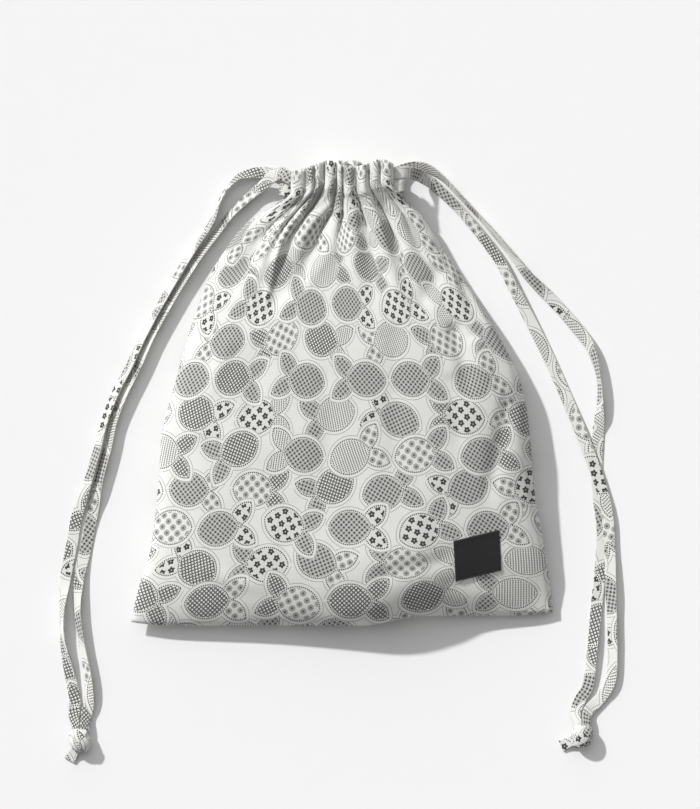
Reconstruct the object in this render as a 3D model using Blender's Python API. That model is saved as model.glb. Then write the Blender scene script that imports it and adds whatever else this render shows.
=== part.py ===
# Kinchaku: a gathered cotton pouch lying on its back, with a drawstring on each side.
# Metres, +Z up. The pouch lies on z = 0 with its neck towards +Y, and the origin is
# under the middle of the pouch. Its front faces +Z.

import math

import bmesh
import bpy
from mathutils import Vector

# Pouch
POUCH_LENGTH = 0.306  # bottom fold to the top of the neck
POUCH_WIDTH = 0.277  # across the bottom corners
POUCH_THICKNESS = 0.046  # floor to the crown of the front
NECK_WIDTH = 0.067  # gathered neck, mouth to mouth of the tunnel
CLOTH_THICKNESS = 0.0006
NECK_OPENING = 0.006  # gap left between the front and the back hem in the gathered neck

# Gathers
PLEAT_WIDTH_SHARES = (1.13, 0.74, 0.74, 1.08, 1.39, 1.03, 0.86, 1.03)  # relative, left to right
PLEAT_END_SHARES = (0.62, 0.72, 0.6, 0.66, 0.7, 0.62, 0.72, 0.66)  # of the length, where each fades
PLEAT_COLUMNS = 5  # cloth columns in each pleat
FRONT_PLEAT_DEPTH = 0.005
BACK_PLEAT_DEPTH = 0.004
PLEAT_SWELL_SHARE = 0.8  # how much deeper a pleat gets just below the tunnel
SWELL_SHARE = 0.05  # share of the length over which it gets deeper
PLEAT_FULL_SHARE = 0.03  # share of the length below the slit where a pleat is first at full strength
NECK_SHARE = 0.09  # share of the length over which the body draws into the neck

# Drawstrings
TAPE_WIDTH = 0.008
TAPE_THICKNESS = 0.001
TAPE_SPACE = 0.0005  # between two tapes that pass over each other
RING_SPACING = 0.013
RING_TWIST = 8  # degrees, the most that the tape turns from one ring to the next
TURN_DEGREES = (60, 30, 0, -30, -60)  # rings of the tape's turn round the far end of the neck
LANE_SHARES = (1.0, 0.7, 0.35, 0.0, -0.35, -0.7, -1.0)  # rings in the tunnel, across half the neck
UPRIGHT_LIMIT = 0.05  # level part of the tape's heading under which it counts as upright

# Tunnel and neck
FIT = 0.0003  # gap between touching pieces
TURN_CLEARANCE = 0.003  # a tape turns round the neck's far end this far outside the mouth
TURN_REACH = 0.0045  # and stands out this much more in the middle of its turn
LANE_ROOM = 0.0007  # each tape's lane in the tunnel is this much wider than the tape
FOLD_ROUND = 0.0014  # depth of the rounded top fold
FOLD_SHARE = 0.3  # depth of the row half way round that fold, as a share of it
FOLD_LIFT_SHARE = 0.7  # and how far out that row stands
HEM_CLOSING = 0.0018  # run over which the hem comes back to the panel
HEM_EDGE_GAP = 0.0012  # from the hem's free edge to the stitching line
SLIT_BELOW_HEM = 0.005  # the side seam starts this far under the hem
MOUTH_FLARE = 0.0105  # the mouth is wider at its lower end
BACK_MOUTH_STEP = 0.012  # the back's left mouth is set in at its upper end
DROOP_LEFT = 0.005  # the neck's top edge drops this far at its left end
DROOP_RIGHT = 0.0025
DROOP_LIMIT_SHARE = 1.6  # the drop past the ends of the neck, against the drop at its ends
DROOP_SHARE = 0.2  # share of the length over which the cloth below follows the drop

# Bottom fold
CORNER_LEFT_HEIGHT = 0.013
CORNER_RIGHT_HEIGHT = 0.007
FOLD_RISE = 0.009  # the middle of the bottom fold stands this much higher
CREST_RISE = 0.009  # and the front just above it rises this much more
CREST_REACH_SHARE = 0.35  # share of the length over which that rise fades
FOLD_SKEW = 0.0065  # the right half of the fold lies this much further up
CORNER_TUCK = 0.0024  # the corners lie this much further up
ROLL_DEPTH = 0.05  # run over which the bottom rounds over
BACK_SAG = 0.004  # presses the back flat onto the floor
CREST_SHARE = 0.14  # the fold stands highest here, from -1 at the left corner to 1 at the right
CREST_LEFT_SHARE = 0.43  # and falls off over this much to the left
CREST_RIGHT_SHARE = 0.3
FOLD_RISE_SHARE = 0.17  # share of the length over which the seams follow the fold's height
SKEW_SHARES = (0.07, 0.4)  # where the right half of the fold starts and stops rising up the cloth
SKEW_FADE_SHARE = 0.2  # share of the length over which that skew fades

# Roundness of the filled cloth, as powers: 2 is an ellipse, more is squarer
ROUND_ACROSS = 2.3
ROUND_BOTTOM = 2.1
ROUND_FOLD = 4
ROUND_CORNER = 12

# Label
LABEL_WIDTH = 0.031
LABEL_HEIGHT = 0.027
LABEL_THICKNESS = 0.0005
LABEL_FROM_SIDE = 0.0493  # middle of the label from the bottom right corner
LABEL_UP = 0.046  # middle of the label from the bottom fold
LABEL_TURN = 16  # degrees
LABEL_COLUMNS = 6  # faces across the label
LABEL_ROWS = 5

# Knots
KNOT_LENGTH = 0.0175
KNOT_WIDTH = 0.0165
KNOT_HEIGHT = 0.0125
KNOT_LUMP_SHARE = 0.1  # share of the radius that the wraps stand out
KNOT_WRAPS = 3  # lumps round the knot
KNOT_SLANT = 4  # radians that they turn by from the middle of the knot to its top
KNOT_LEVEL_SHARE = 0.9  # the knot's middle over the floor, as a share of its half height
TAPE_ENTRY_SHARE = 0.45  # height at which a tape goes into its knot, as a share of the knot's
TAPE_RISE_SHARE = 0.6  # how much of that height it has one approach before the knot
END_PLIES = 2  # the tape's end is this many tapes thick
LEFT_END_TURN = -118  # degrees
RIGHT_END_TURN = -155
LEFT_KNOT = (-0.1728, -0.2290)
RIGHT_KNOT = (0.1582, -0.2264)
KNOT_APPROACH = 0.006  # straight run of the tape into the knot
END_LENGTH = 0.007  # tape end that sticks out of the knot

# Finishes: colour and roughness
PRINTED_COTTON = ((0.78, 0.78, 0.75), 0.85)
TAPE_COTTON = ((0.76, 0.76, 0.73), 0.85)
KNOT_COTTON = ((0.74, 0.74, 0.71), 0.85)
WOVEN_LABEL = ((0.012, 0.012, 0.013), 0.6)

# Side outline: (share of the length, share of the way from neck width to full width)
LEFT_OUTLINE_SHARES = (
    (0.0, 1.0), (0.04, 0.978), (0.1, 0.935), (0.16, 0.882), (0.3, 0.832),
    (0.42, 0.805), (0.52, 0.728), (0.634, 0.634), (0.765, 0.493), (0.83, 0.389),
    (0.879, 0.285), (0.925, 0.09),
)
RIGHT_OUTLINE_SHARES = (
    (0.0, 1.0), (0.1, 0.972), (0.2, 0.93), (0.3, 0.88), (0.44, 0.845),
    (0.54, 0.78), (0.65, 0.612), (0.765, 0.406), (0.832, 0.286), (0.884, 0.192),
    (0.925, 0.075),
)
# Height of the side seams and of the front's crown, as shares of the thickness
SEAM_HEIGHT_SHARES = ((0.0, 0.25), (0.35, 0.22), (0.65, 0.24), (0.85, 0.3), (0.93, 0.34))
CROWN_HEIGHT_SHARES = (
    (0.0, 0.56), (0.1, 0.7), (0.2, 0.83), (0.3, 0.925), (0.4, 0.98), (0.5, 1.0),
    (0.6, 0.98), (0.7, 0.89), (0.8, 0.765), (0.86, 0.68), (0.92, 0.56),
)
# Rows of the cloth between the bottom fold and the side slit, as shares of that run
BODY_ROW_SHARES = (
    0.0, 0.013, 0.04, 0.08, 0.135, 0.21, 0.3, 0.4, 0.5, 0.59, 0.67, 0.745, 0.81, 0.865, 0.91, 0.955, 1.0,
)

LANE = TAPE_WIDTH + LANE_ROOM
TUNNEL_DEPTH = FOLD_ROUND + 2 * LANE + HEM_CLOSING
UPPER_LANE = FOLD_ROUND + LANE / 2
LOWER_LANE = UPPER_LANE + LANE
TAPE_OFFSET = (TAPE_THICKNESS + TAPE_SPACE) / 2
WALL_CLEARANCE = TAPE_OFFSET + TAPE_THICKNESS / 2 + FIT + CLOTH_THICKNESS / 2
HEM_OFFSET = (CLOTH_THICKNESS + FIT) / 2
BACK_LEVEL = CLOTH_THICKNESS / 2 + BACK_PLEAT_DEPTH + WALL_CLEARANCE
FRONT_LEVEL = (
    BACK_LEVEL + 2 * WALL_CLEARANCE + BACK_PLEAT_DEPTH + FRONT_PLEAT_DEPTH + CLOTH_THICKNESS + NECK_OPENING
)
TOP = POUCH_LENGTH / 2
SLIT_DEPTH = TUNNEL_DEPTH + SLIT_BELOW_HEM
SLIT_SHARE = 1 - SLIT_DEPTH / POUCH_LENGTH
LABEL_RIGHT = POUCH_WIDTH / 2 - LABEL_FROM_SIDE


def clear_scene():
    for obj in list(bpy.data.objects):
        bpy.data.objects.remove(obj, do_unlink=True)


def ease(start, end, value):
    """Rises smoothly from 0 at start to 1 at end."""
    share = min(max((value - start) / (end - start), 0.0), 1.0)
    return share * share * (3 - 2 * share)


def read_curve(points, value):
    """Value of a smooth curve through (place, value) points."""
    if value <= points[0][0]:
        return points[0][1]
    for i in range(len(points) - 1):
        (a, low), (b, high) = points[i], points[i + 1]
        if value > b:
            continue
        before = points[max(i - 1, 0)]
        after = points[min(i + 2, len(points) - 1)]
        slope_in = (high - before[1]) / (b - before[0])
        slope_out = (after[1] - low) / (after[0] - a)
        t = (value - a) / (b - a)
        bend_in = slope_in * (b - a) * (t * t * t - 2 * t * t + t)
        bend_out = slope_out * (b - a) * (t * t * t - t * t)
        return low + (high - low) * t * t * (3 - 2 * t) + bend_in + bend_out
    return points[-1][1]


def superellipse(x, power):
    return max(1 - abs(x) ** power, 0.0) ** (1 / power)


def pleat_columns():
    """Places of the cloth's columns, -1 at the left to 1 at the right, with pleat numbers and phases."""
    total = sum(PLEAT_WIDTH_SHARES)
    start = -1.0
    columns = []
    for number, width in enumerate(PLEAT_WIDTH_SHARES):
        run = 2 * width / total
        for step in range(PLEAT_COLUMNS):
            columns.append((start + run * step / PLEAT_COLUMNS, number, step / PLEAT_COLUMNS))
        start += run
    columns.append((1.0, len(PLEAT_WIDTH_SHARES) - 1, 1.0))
    return columns


def pleat_wave(phase):
    """0 in the valleys of a pleat and 1 on its ridge."""
    return 0.5 - 0.5 * math.cos(2 * math.pi * phase)


def half_width(side, share):
    """Distance of the side edge from the middle at a share of the length."""
    outline = LEFT_OUTLINE_SHARES if side < 0 else RIGHT_OUTLINE_SHARES
    return NECK_WIDTH / 2 + read_curve(outline, share) * (POUCH_WIDTH - NECK_WIDTH) / 2


def mouth_half_width(side, depth, back):
    """The same inside the tunnel, at a depth below the top edge."""
    width = NECK_WIDTH / 2 + MOUTH_FLARE * ease(LOWER_LANE, SLIT_DEPTH, depth)
    if back and side < 0:
        width -= BACK_MOUTH_STEP * (1 - ease(0, LOWER_LANE, depth))
    return width


def droop(x):
    """How far the neck's top edge lies below its middle."""
    share = x / (NECK_WIDTH / 2)
    return (DROOP_LEFT if x < 0 else DROOP_RIGHT) * min(share * share, DROOP_LIMIT_SHARE)


def crest(place):
    """1 where the bottom of the pouch stands highest and 0 at its corners."""
    spread = CREST_LEFT_SHARE if place < CREST_SHARE else CREST_RIGHT_SHARE
    return math.exp(-(((place - CREST_SHARE) / spread) ** 2)) * superellipse(place, ROUND_FOLD)


def fold_height(place):
    """Height of the bottom fold."""
    corner = CORNER_LEFT_HEIGHT + (CORNER_RIGHT_HEIGHT - CORNER_LEFT_HEIGHT) * (place + 1) / 2
    return corner + FOLD_RISE * crest(place)


def fold_skew(place, share):
    """How far the cloth near the bottom fold lies further up than a straight fold would have it."""
    skew = FOLD_SKEW * ease(*SKEW_SHARES, place) + CORNER_TUCK * abs(place) ** ROUND_CORNER
    return skew * (1 - ease(0, SKEW_FADE_SHARE, share))


def seam_height(place, share):
    """Height of the sheet that the front rises from and the back sinks from."""
    seam = read_curve(SEAM_HEIGHT_SHARES, share) * POUCH_THICKNESS
    near_fold = 1 - ease(0, FOLD_RISE_SHARE, share)
    return seam + (fold_height(place) - seam) * near_fold


def fullness(place, share):
    """0 at the seams and the bottom fold, 1 over the filled middle."""
    rise = min(share * POUCH_LENGTH / ROLL_DEPTH, 1.0)
    return superellipse(place, ROUND_ACROSS) * superellipse(1 - rise, ROUND_BOTTOM)


def pleat_height(number, phase, share, depth):
    """Height that the pleats add to the body of the pouch."""
    swell = 1 + PLEAT_SWELL_SHARE * ease(SLIT_SHARE, SLIT_SHARE - SWELL_SHARE, share)
    fade = ease(PLEAT_END_SHARES[number], SLIT_SHARE - PLEAT_FULL_SHARE, share)
    return depth * swell * fade * (pleat_wave(phase) - 0.5)


def front_height(place, share, number, phase):
    seam = seam_height(place, share)
    into_neck = ease(SLIT_SHARE - NECK_SHARE, SLIT_SHARE, share)
    crown = read_curve(CROWN_HEIGHT_SHARES, share) * POUCH_THICKNESS - CLOTH_THICKNESS / 2
    crown += CREST_RISE * crest(place) * (1 - ease(0, CREST_REACH_SHARE, share))
    crown += (FRONT_LEVEL - crown) * into_neck
    full = fullness(place, share)
    return seam + (crown - seam) * full + pleat_height(number, phase, share, FRONT_PLEAT_DEPTH) * full


def back_height(place, share, number, phase):
    seam = seam_height(place, share)
    into_neck = ease(SLIT_SHARE - NECK_SHARE, SLIT_SHARE, share)
    full = fullness(place, share)
    lying = seam - (seam + BACK_SAG) * full
    raised = seam + (BACK_LEVEL - seam) * full
    height = lying + (raised - lying) * into_neck
    height -= pleat_height(number, phase, share, BACK_PLEAT_DEPTH) * full * into_neck
    return max(height, CLOTH_THICKNESS / 2)


def body_point(column, share_of_run, back):
    """A point of the front or back panel between the bottom fold and the slit."""
    place, number, phase = column
    share = share_of_run * SLIT_SHARE
    x = abs(place) * half_width(place, share) * (1 if place > 0 else -1)
    y = share * POUCH_LENGTH - TOP + fold_skew(place, share)
    y -= droop(place * NECK_WIDTH / 2) * ease(SLIT_SHARE - DROOP_SHARE, SLIT_SHARE, share)
    height = back_height if back else front_height
    return Vector((x, y, height(place, share, number, phase)))


def tunnel_point(column, depth, lift, back):
    """A point of the tunnel's wall. Lift runs from -1 on the inner wall to 1 on the outer one."""
    place, _, phase = column
    x = place * mouth_half_width(place, depth, back)
    y = TOP - droop(x) - depth
    pleat = BACK_PLEAT_DEPTH if back else FRONT_PLEAT_DEPTH
    middle = pleat * (pleat_wave(phase) - 0.5)
    reach = (pleat / 2 + WALL_CLEARANCE) * lift
    if depth > TUNNEL_DEPTH - HEM_CLOSING:
        reach = HEM_OFFSET * lift
    if back:
        return Vector((x, y, BACK_LEVEL - middle - reach))
    return Vector((x, y, FRONT_LEVEL + middle + reach))


def tunnel_rows():
    """(depth, lift) of the cloth's rows from the stitching up the panel, over the fold and down the hem."""
    up = [
        (TUNNEL_DEPTH, 1.0),
        (TUNNEL_DEPTH - HEM_CLOSING, 1.0),
        (TUNNEL_DEPTH / 2, 1.0),
        (FOLD_ROUND, 1.0),
        (FOLD_ROUND * FOLD_SHARE, FOLD_LIFT_SHARE),
        (0.0, 0.0),
    ]
    down = [(depth, -lift) for depth, lift in reversed(up[1:-1])]
    return up + down + [(TUNNEL_DEPTH - HEM_EDGE_GAP, -1.0)]


def add_material(obj, finish):
    color, roughness = finish
    material = bpy.data.materials.new(obj.name + "_finish")
    material.use_nodes = True
    shader = material.node_tree.nodes["Principled BSDF"]
    shader.inputs["Base Color"].default_value = (*color, 1.0)
    shader.inputs["Roughness"].default_value = roughness
    shader.inputs["Metallic"].default_value = 0.0
    obj.data.materials.append(material)


def add_object(name, bm):
    bmesh.ops.recalc_face_normals(bm, faces=bm.faces)
    mesh = bpy.data.meshes.new(name)
    bm.to_mesh(mesh)
    bm.free()
    obj = bpy.data.objects.new(name, mesh)
    bpy.context.collection.objects.link(obj)
    return obj


def build_pouch_body():
    """One cloth, folded at the bottom, sewn up both sides and hemmed into a tunnel front and back."""
    columns = pleat_columns()
    last = len(columns) - 1
    bm = bmesh.new()
    sheets = []
    for back in (False, True):
        rows = []
        for share in BODY_ROW_SHARES:
            row = [bm.verts.new(body_point(column, share, back)) for column in columns]
            rows.append(row)
        for depth, lift in tunnel_rows():
            row = [bm.verts.new(tunnel_point(column, depth, lift, back)) for column in columns]
            rows.append(row)
        sheets.append(rows)
    front, rear = sheets
    sewn = [(front[0][i], rear[0][i]) for i in range(last + 1)]
    for j in range(1, len(BODY_ROW_SHARES)):
        sewn += [(front[j][0], rear[j][0]), (front[j][last], rear[j][last])]
    for rows, back in ((front, False), (rear, True)):
        for low, high in zip(rows, rows[1:]):
            for i in range(last):
                corners = [low[i], low[i + 1], high[i + 1], high[i]]
                bm.faces.new(corners[::-1] if back else corners)
    for kept, merged in sewn:
        middle = (kept.co + merged.co) / 2
        kept.co = middle
        merged.co = middle
    bmesh.ops.weld_verts(bm, targetmap={merged: kept for kept, merged in sewn})
    mesh = bpy.data.meshes.new("pouch_body")
    bm.to_mesh(mesh)
    bm.free()
    obj = bpy.data.objects.new("pouch_body", mesh)
    bpy.context.collection.objects.link(obj)
    cloth = obj.modifiers.new("cloth", "SOLIDIFY")
    cloth.thickness = CLOTH_THICKNESS
    cloth.offset = 0.0
    cloth.use_rim = True
    mesh.shade_smooth()
    add_material(obj, PRINTED_COTTON)


def front_surface(x, y):
    """Point of the smooth front over a place on the floor, away from the pleats."""
    share = (y + TOP) / POUCH_LENGTH
    place = x / half_width(x, share)
    for _ in range(3):
        share = (y + TOP - fold_skew(place, share)) / POUCH_LENGTH
        place = x / half_width(x, share)
    return Vector((x, y, front_height(place, share, 0, 0.5)))


def build_label():
    """A woven label that lies on the front near its lower right corner."""
    turn = math.radians(LABEL_TURN)
    under = CLOTH_THICKNESS / 2 + FIT
    bm = bmesh.new()
    layers = []
    for lift in (under, under + LABEL_THICKNESS):
        rows = []
        for j in range(LABEL_ROWS + 1):
            row = []
            for i in range(LABEL_COLUMNS + 1):
                a = LABEL_WIDTH * (i / LABEL_COLUMNS - 0.5)
                b = LABEL_HEIGHT * (j / LABEL_ROWS - 0.5)
                x = LABEL_RIGHT + a * math.cos(turn) - b * math.sin(turn)
                y = LABEL_UP - TOP + a * math.sin(turn) + b * math.cos(turn)
                row.append(bm.verts.new(front_surface(x, y) + Vector((0, 0, lift))))
            rows.append(row)
        layers.append(rows)
    for rows in layers:
        for j in range(LABEL_ROWS):
            for i in range(LABEL_COLUMNS):
                bm.faces.new((rows[j][i], rows[j][i + 1], rows[j + 1][i + 1], rows[j + 1][i]))
    for low, high in zip(rim(layers[0]), rim(layers[1])):
        bm.faces.new((*low, *reversed(high)))
    obj = add_object("label", bm)
    add_material(obj, WOVEN_LABEL)


def rim(rows):
    """Pairs of neighbours around the edge of a grid of vertices."""
    loop = rows[0] + [row[-1] for row in rows[1:-1]] + rows[-1][::-1] + [row[0] for row in rows[-2:0:-1]]
    return list(zip(loop, loop[1:] + loop[:1]))


def lane_point(x, side, level, offset):
    """Point of a tape in the tunnel. It changes from the upper lane at its own side to the lower one."""
    share = ease(-NECK_WIDTH / 2, NECK_WIDTH / 2, -x * side)
    depth = UPPER_LANE + (LOWER_LANE - UPPER_LANE) * share
    return (x, TOP - droop(x) - depth, level + offset)


def tunnel_route(side):
    """Points of a drawstring from its front mouth through both tunnels and back to its own side."""
    mouth = NECK_WIDTH / 2
    out = side * TAPE_OFFSET
    front, rear = FRONT_LEVEL - out, BACK_LEVEL + out
    places = [mouth * share for share in LANE_SHARES]
    there = [lane_point(side * x, side, front, 0) for x in places]
    turn_x = -side * (mouth + TURN_CLEARANCE)
    turn_y = lane_point(-side * mouth, side, 0, 0)[1]
    radius = (front - rear) / 2
    middle = (front + rear) / 2
    turn = []
    for degrees in TURN_DEGREES:
        angle = math.radians(degrees)
        x = turn_x - side * TURN_REACH * math.cos(angle)
        turn.append((x, turn_y, middle + radius * math.sin(angle)))
    back = [lane_point(side * x, side, rear, 0) for x in reversed(places)]
    return there, turn, back


# Strands: (x, y, height of the tape's lower edge, roll in degrees), from the neck to the knot
LEFT_FRONT_STRAND = (
    (-0.039, 0.1445, 0.021, 8), (-0.0455, 0.1425, 0.012, 10), (-0.0515, 0.1375, 0.004, 20),
    (-0.0595, 0.131, 0.0, 25), (-0.072, 0.1195, 0.0, 40), (-0.0815, 0.107, 0.0, 52),
    (-0.096, 0.0875, 0.0, 52), (-0.1125, 0.061, 0.0, 52), (-0.1255, 0.0375, 0.0, 52),
    (-0.1345, 0.0175, 0.0, 50), (-0.1435, -0.0005, 0.0, 50), (-0.1505, -0.018, 0.0, 45),
    (-0.1545, -0.036, 0.0, 45), (-0.1605, -0.0585, 0.0, 40), (-0.1645, -0.0785, 0.0, 10),
    (-0.1685, -0.0995, 0.0, 0), (-0.1735, -0.122, 0.0, 20), (-0.1747, -0.1425, 0.0, 50),
    (-0.172, -0.164, 0.0, 56), (-0.1675, -0.187, 0.0, 50), (-0.1668, -0.203, 0.0, 30),
)
LEFT_BACK_STRAND = (
    (-0.0395, 0.1435, 0.0035, 0), (-0.051, 0.1455, 0.0005, 5),
    (-0.0655, 0.1435, 0.0, 10), (-0.0735, 0.1375, 0.0, 20), (-0.0805, 0.127, 0.0, 45),
    (-0.086, 0.1125, 0.0, 55), (-0.1015, 0.0895, 0.0, 55), (-0.1175, 0.0625, 0.0, 55),
    (-0.1305, 0.0385, 0.0, 55), (-0.1405, 0.0175, 0.0, 52), (-0.149, 0.001, 0.0, 50),
    (-0.157, -0.0195, 0.0, 50), (-0.1615, -0.0375, 0.0, 48), (-0.168, -0.0595, 0.0, 40),
    (-0.1748, -0.0805, 0.0, 10), (-0.1782, -0.0995, 0.0, 5), (-0.1825, -0.122, 0.0, 15),
    (-0.1845, -0.1435, 0.0, 65), (-0.1842, -0.163, 0.0, 65), (-0.180, -0.184, 0.0, 25),
    (-0.1765, -0.201, 0.0, 5),
)
RIGHT_FRONT_STRAND = (
    (0.041, 0.1450, 0.0215, 0), (0.048, 0.1440, 0.013, 0), (0.0545, 0.1412, 0.0045, 5),
    (0.0615, 0.1365, 0.0, 22), (0.075, 0.1235, 0.0, 52), (0.088, 0.1085, 0.0, 52),
    (0.103, 0.0885, 0.0, 50), (0.114, 0.0675, 0.0, 38), (0.126, 0.0445, 0.0, 8),
    (0.1385, 0.019, 0.0, 0), (0.1505, -0.0085, 0.0003, 0), (0.158, -0.0265, 0.0015, 0),
    (0.1645, -0.0435, 0.0016, 0), (0.171, -0.0625, 0.0016, 0), (0.175, -0.0805, 0.0016, 10),
    (0.1765, -0.1025, 0.0016, 10), (0.1772, -0.1275, 0.0024, 18), (0.178, -0.1445, 0.0004, 30),
    (0.1785, -0.167, 0.0, 32), (0.1775, -0.1885, 0.0, 26), (0.1715, -0.200, 0.0, 12),
)
RIGHT_BACK_STRAND = (
    (0.0400, 0.1470, 0.0045, 5), (0.0485, 0.1492, 0.0015, 25), (0.0575, 0.1475, 0.0, 45),
    (0.0665, 0.1415, 0.0, 55), (0.077, 0.1305, 0.0, 55), (0.092, 0.1145, 0.0, 55),
    (0.1075, 0.0965, 0.0, 50), (0.123, 0.077, 0.0, 30), (0.139, 0.061, 0.0, 5),
    (0.154, 0.044, 0.0, 10), (0.1645, 0.029, 0.0, 40), (0.1695, 0.0095, 0.0, 70),
    (0.1702, -0.0085, 0.0, 50), (0.169, -0.0275, 0.0, 0), (0.168, -0.0495, 0.0, 0),
    (0.1692, -0.069, 0.0, 0), (0.1718, -0.09, 0.0, 0), (0.1705, -0.115, 0.0, 0),
    (0.168, -0.140, 0.0, 5), (0.1655, -0.166, 0.0, 25), (0.1625, -0.192, 0.0, 15),
    (0.1575, -0.2015, 0.0, 5),
)


def knot_entry(knot, lean):
    """Last strand points, where a tape runs straight into its knot, left or right of the knot's middle."""
    x = knot[0] + lean * (TAPE_WIDTH / 2 + FIT)
    y = knot[1] + KNOT_LENGTH / 2 + FIT
    lift = KNOT_HEIGHT * TAPE_ENTRY_SHARE - TAPE_THICKNESS / 2
    return [(x, y + KNOT_APPROACH, lift * TAPE_RISE_SHARE, 0), (x, y, lift, 0)]


def rest_on_floor(strand):
    """(centre, roll) of each strand point, from the height of the tape's lower edge."""
    placed = []
    for x, y, lift, roll in strand:
        placed.append((Vector((x, y, lift + tape_reach(roll))), roll))
    return placed


def tape_reach(roll):
    """Height of the tape's middle over its lower edge."""
    angle = math.radians(abs(roll))
    return TAPE_WIDTH / 2 * math.sin(angle) + TAPE_THICKNESS / 2 * math.cos(angle)


def smooth_route(points):
    """Rings along a smooth curve through (centre, roll) points."""
    rings = []
    for i in range(len(points) - 1):
        p0, p1 = points[max(i - 1, 0)], points[i]
        p2, p3 = points[i + 1], points[min(i + 2, len(points) - 1)]
        by_length = round((p2[0] - p1[0]).length / RING_SPACING)
        by_twist = math.ceil(abs(p2[1] - p1[1]) / RING_TWIST)
        steps = max(1, by_length, by_twist)
        for step in range(steps):
            t = step / steps
            centre = catmull(p0[0], p1[0], p2[0], p3[0], t)
            rings.append((centre, catmull(p0[1], p1[1], p2[1], p3[1], t)))
    rings.append(points[-1])
    return rings


def catmull(a, b, c, d, t):
    return 0.5 * (2 * b + (c - a) * t + (2 * a - 5 * b + 4 * c - d) * t * t + (3 * b - a - 3 * c + d) * t**3)


def build_drawstring(name, side, front_strand, back_strand, knot):
    """A flat tape from its knot through the front tunnel, round the neck's far end and out of the back."""
    there, turn, back = tunnel_route(side)
    points = rest_on_floor((*front_strand, *knot_entry(knot, 1)))[::-1]
    points += [(Vector(p), 0.0) for p in there + turn + back]
    points += rest_on_floor((*back_strand, *knot_entry(knot, -1)))
    rings = smooth_route(points)
    centres = [centre for centre, _ in rings]
    bm = bmesh.new()
    corners = []
    across = Vector((1, 0, 0))
    for i, (centre, roll) in enumerate(rings):
        ahead = (centres[min(i + 1, len(rings) - 1)] - centres[max(i - 1, 0)]).normalized()
        level = Vector((-ahead.y, ahead.x, 0))
        if level.length < UPRIGHT_LIMIT:
            level = across - ahead * across.dot(ahead)
        level.normalize()
        if level.dot(across) < 0:
            level.negate()
        across = level
        upright = ahead.cross(level).normalized()
        if upright.z < 0:
            upright.negate()
        angle = math.radians(roll)
        wide = level * math.cos(angle) + upright * math.sin(angle)
        thick = ahead.cross(wide).normalized()
        floor = tape_reach(roll)
        middle = Vector((centre.x, centre.y, max(centre.z, floor)))
        half_wide, half_thick = wide * TAPE_WIDTH / 2, thick * TAPE_THICKNESS / 2
        signs = ((-1, -1), (1, -1), (1, 1), (-1, 1))
        corners.append([bm.verts.new(middle + half_wide * a + half_thick * b) for a, b in signs])
    for ring, following in zip(corners, corners[1:]):
        for k in range(4):
            bm.faces.new((ring[k], ring[(k + 1) % 4], following[(k + 1) % 4], following[k]))
    bm.faces.new(corners[0][::-1])
    bm.faces.new(corners[-1])
    obj = add_object(name, bm)
    add_material(obj, TAPE_COTTON)


def build_knot(name, knot, end_turn):
    """An overhand knot that holds both ends of a drawstring, with the tape's end sticking out."""
    half_height = KNOT_HEIGHT / (1 + KNOT_LEVEL_SHARE - KNOT_LUMP_SHARE / 2)
    ball = bmesh.new()
    bmesh.ops.create_icosphere(ball, subdivisions=3, radius=1.0)
    for vert in ball.verts:
        around = math.atan2(vert.co.y, vert.co.x)
        wraps = math.cos(KNOT_WRAPS * around + KNOT_SLANT * vert.co.z) * (1 - vert.co.z**2)
        out = 1 - KNOT_LUMP_SHARE / 2 + KNOT_LUMP_SHARE / 2 * wraps
        vert.co = Vector((
            vert.co.x * out * KNOT_WIDTH / 2,
            vert.co.y * out * KNOT_LENGTH / 2,
            max((vert.co.z * out + KNOT_LEVEL_SHARE) * half_height, 0.0),
        ))
    obj = add_object(name, ball)
    obj.location = (*knot, 0)
    end = bmesh.new()
    bmesh.ops.create_cube(end, size=1.0)
    for vert in end.verts:
        length = KNOT_LENGTH / 2 + END_LENGTH
        vert.co = Vector((
            (vert.co.x + 0.5) * length,
            vert.co.y * TAPE_WIDTH,
            (vert.co.z + 0.5) * TAPE_THICKNESS * END_PLIES,
        ))
    stub = add_object(name + "_end_shape", end)
    stub.location = (*knot, 0)
    stub.rotation_euler = (0, 0, math.radians(end_turn))
    stub.hide_render = True
    stub.display_type = "WIRE"
    union = obj.modifiers.new("tape_end", "BOOLEAN")
    union.operation = "UNION"
    union.solver = "EXACT"
    union.object = stub
    obj.data.shade_smooth()
    add_material(obj, KNOT_COTTON)


def main():
    clear_scene()
    build_pouch_body()
    build_label()
    build_drawstring("drawstring_left", -1, LEFT_FRONT_STRAND, LEFT_BACK_STRAND, LEFT_KNOT)
    build_drawstring("drawstring_right", 1, RIGHT_FRONT_STRAND, RIGHT_BACK_STRAND, RIGHT_KNOT)
    build_knot("knot_left", LEFT_KNOT, LEFT_END_TURN)
    build_knot("knot_right", RIGHT_KNOT, RIGHT_END_TURN)


main()
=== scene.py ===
# Kinchaku: a gathered cotton pouch that lies on its back, with a flat cord of its own cloth
# drawn out on each side. Metres, Z up, front of the pouch towards +Z, neck towards +Y.

import math

import bmesh
import bpy
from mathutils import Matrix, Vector, noise
from mathutils.bvhtree import BVHTree


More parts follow.
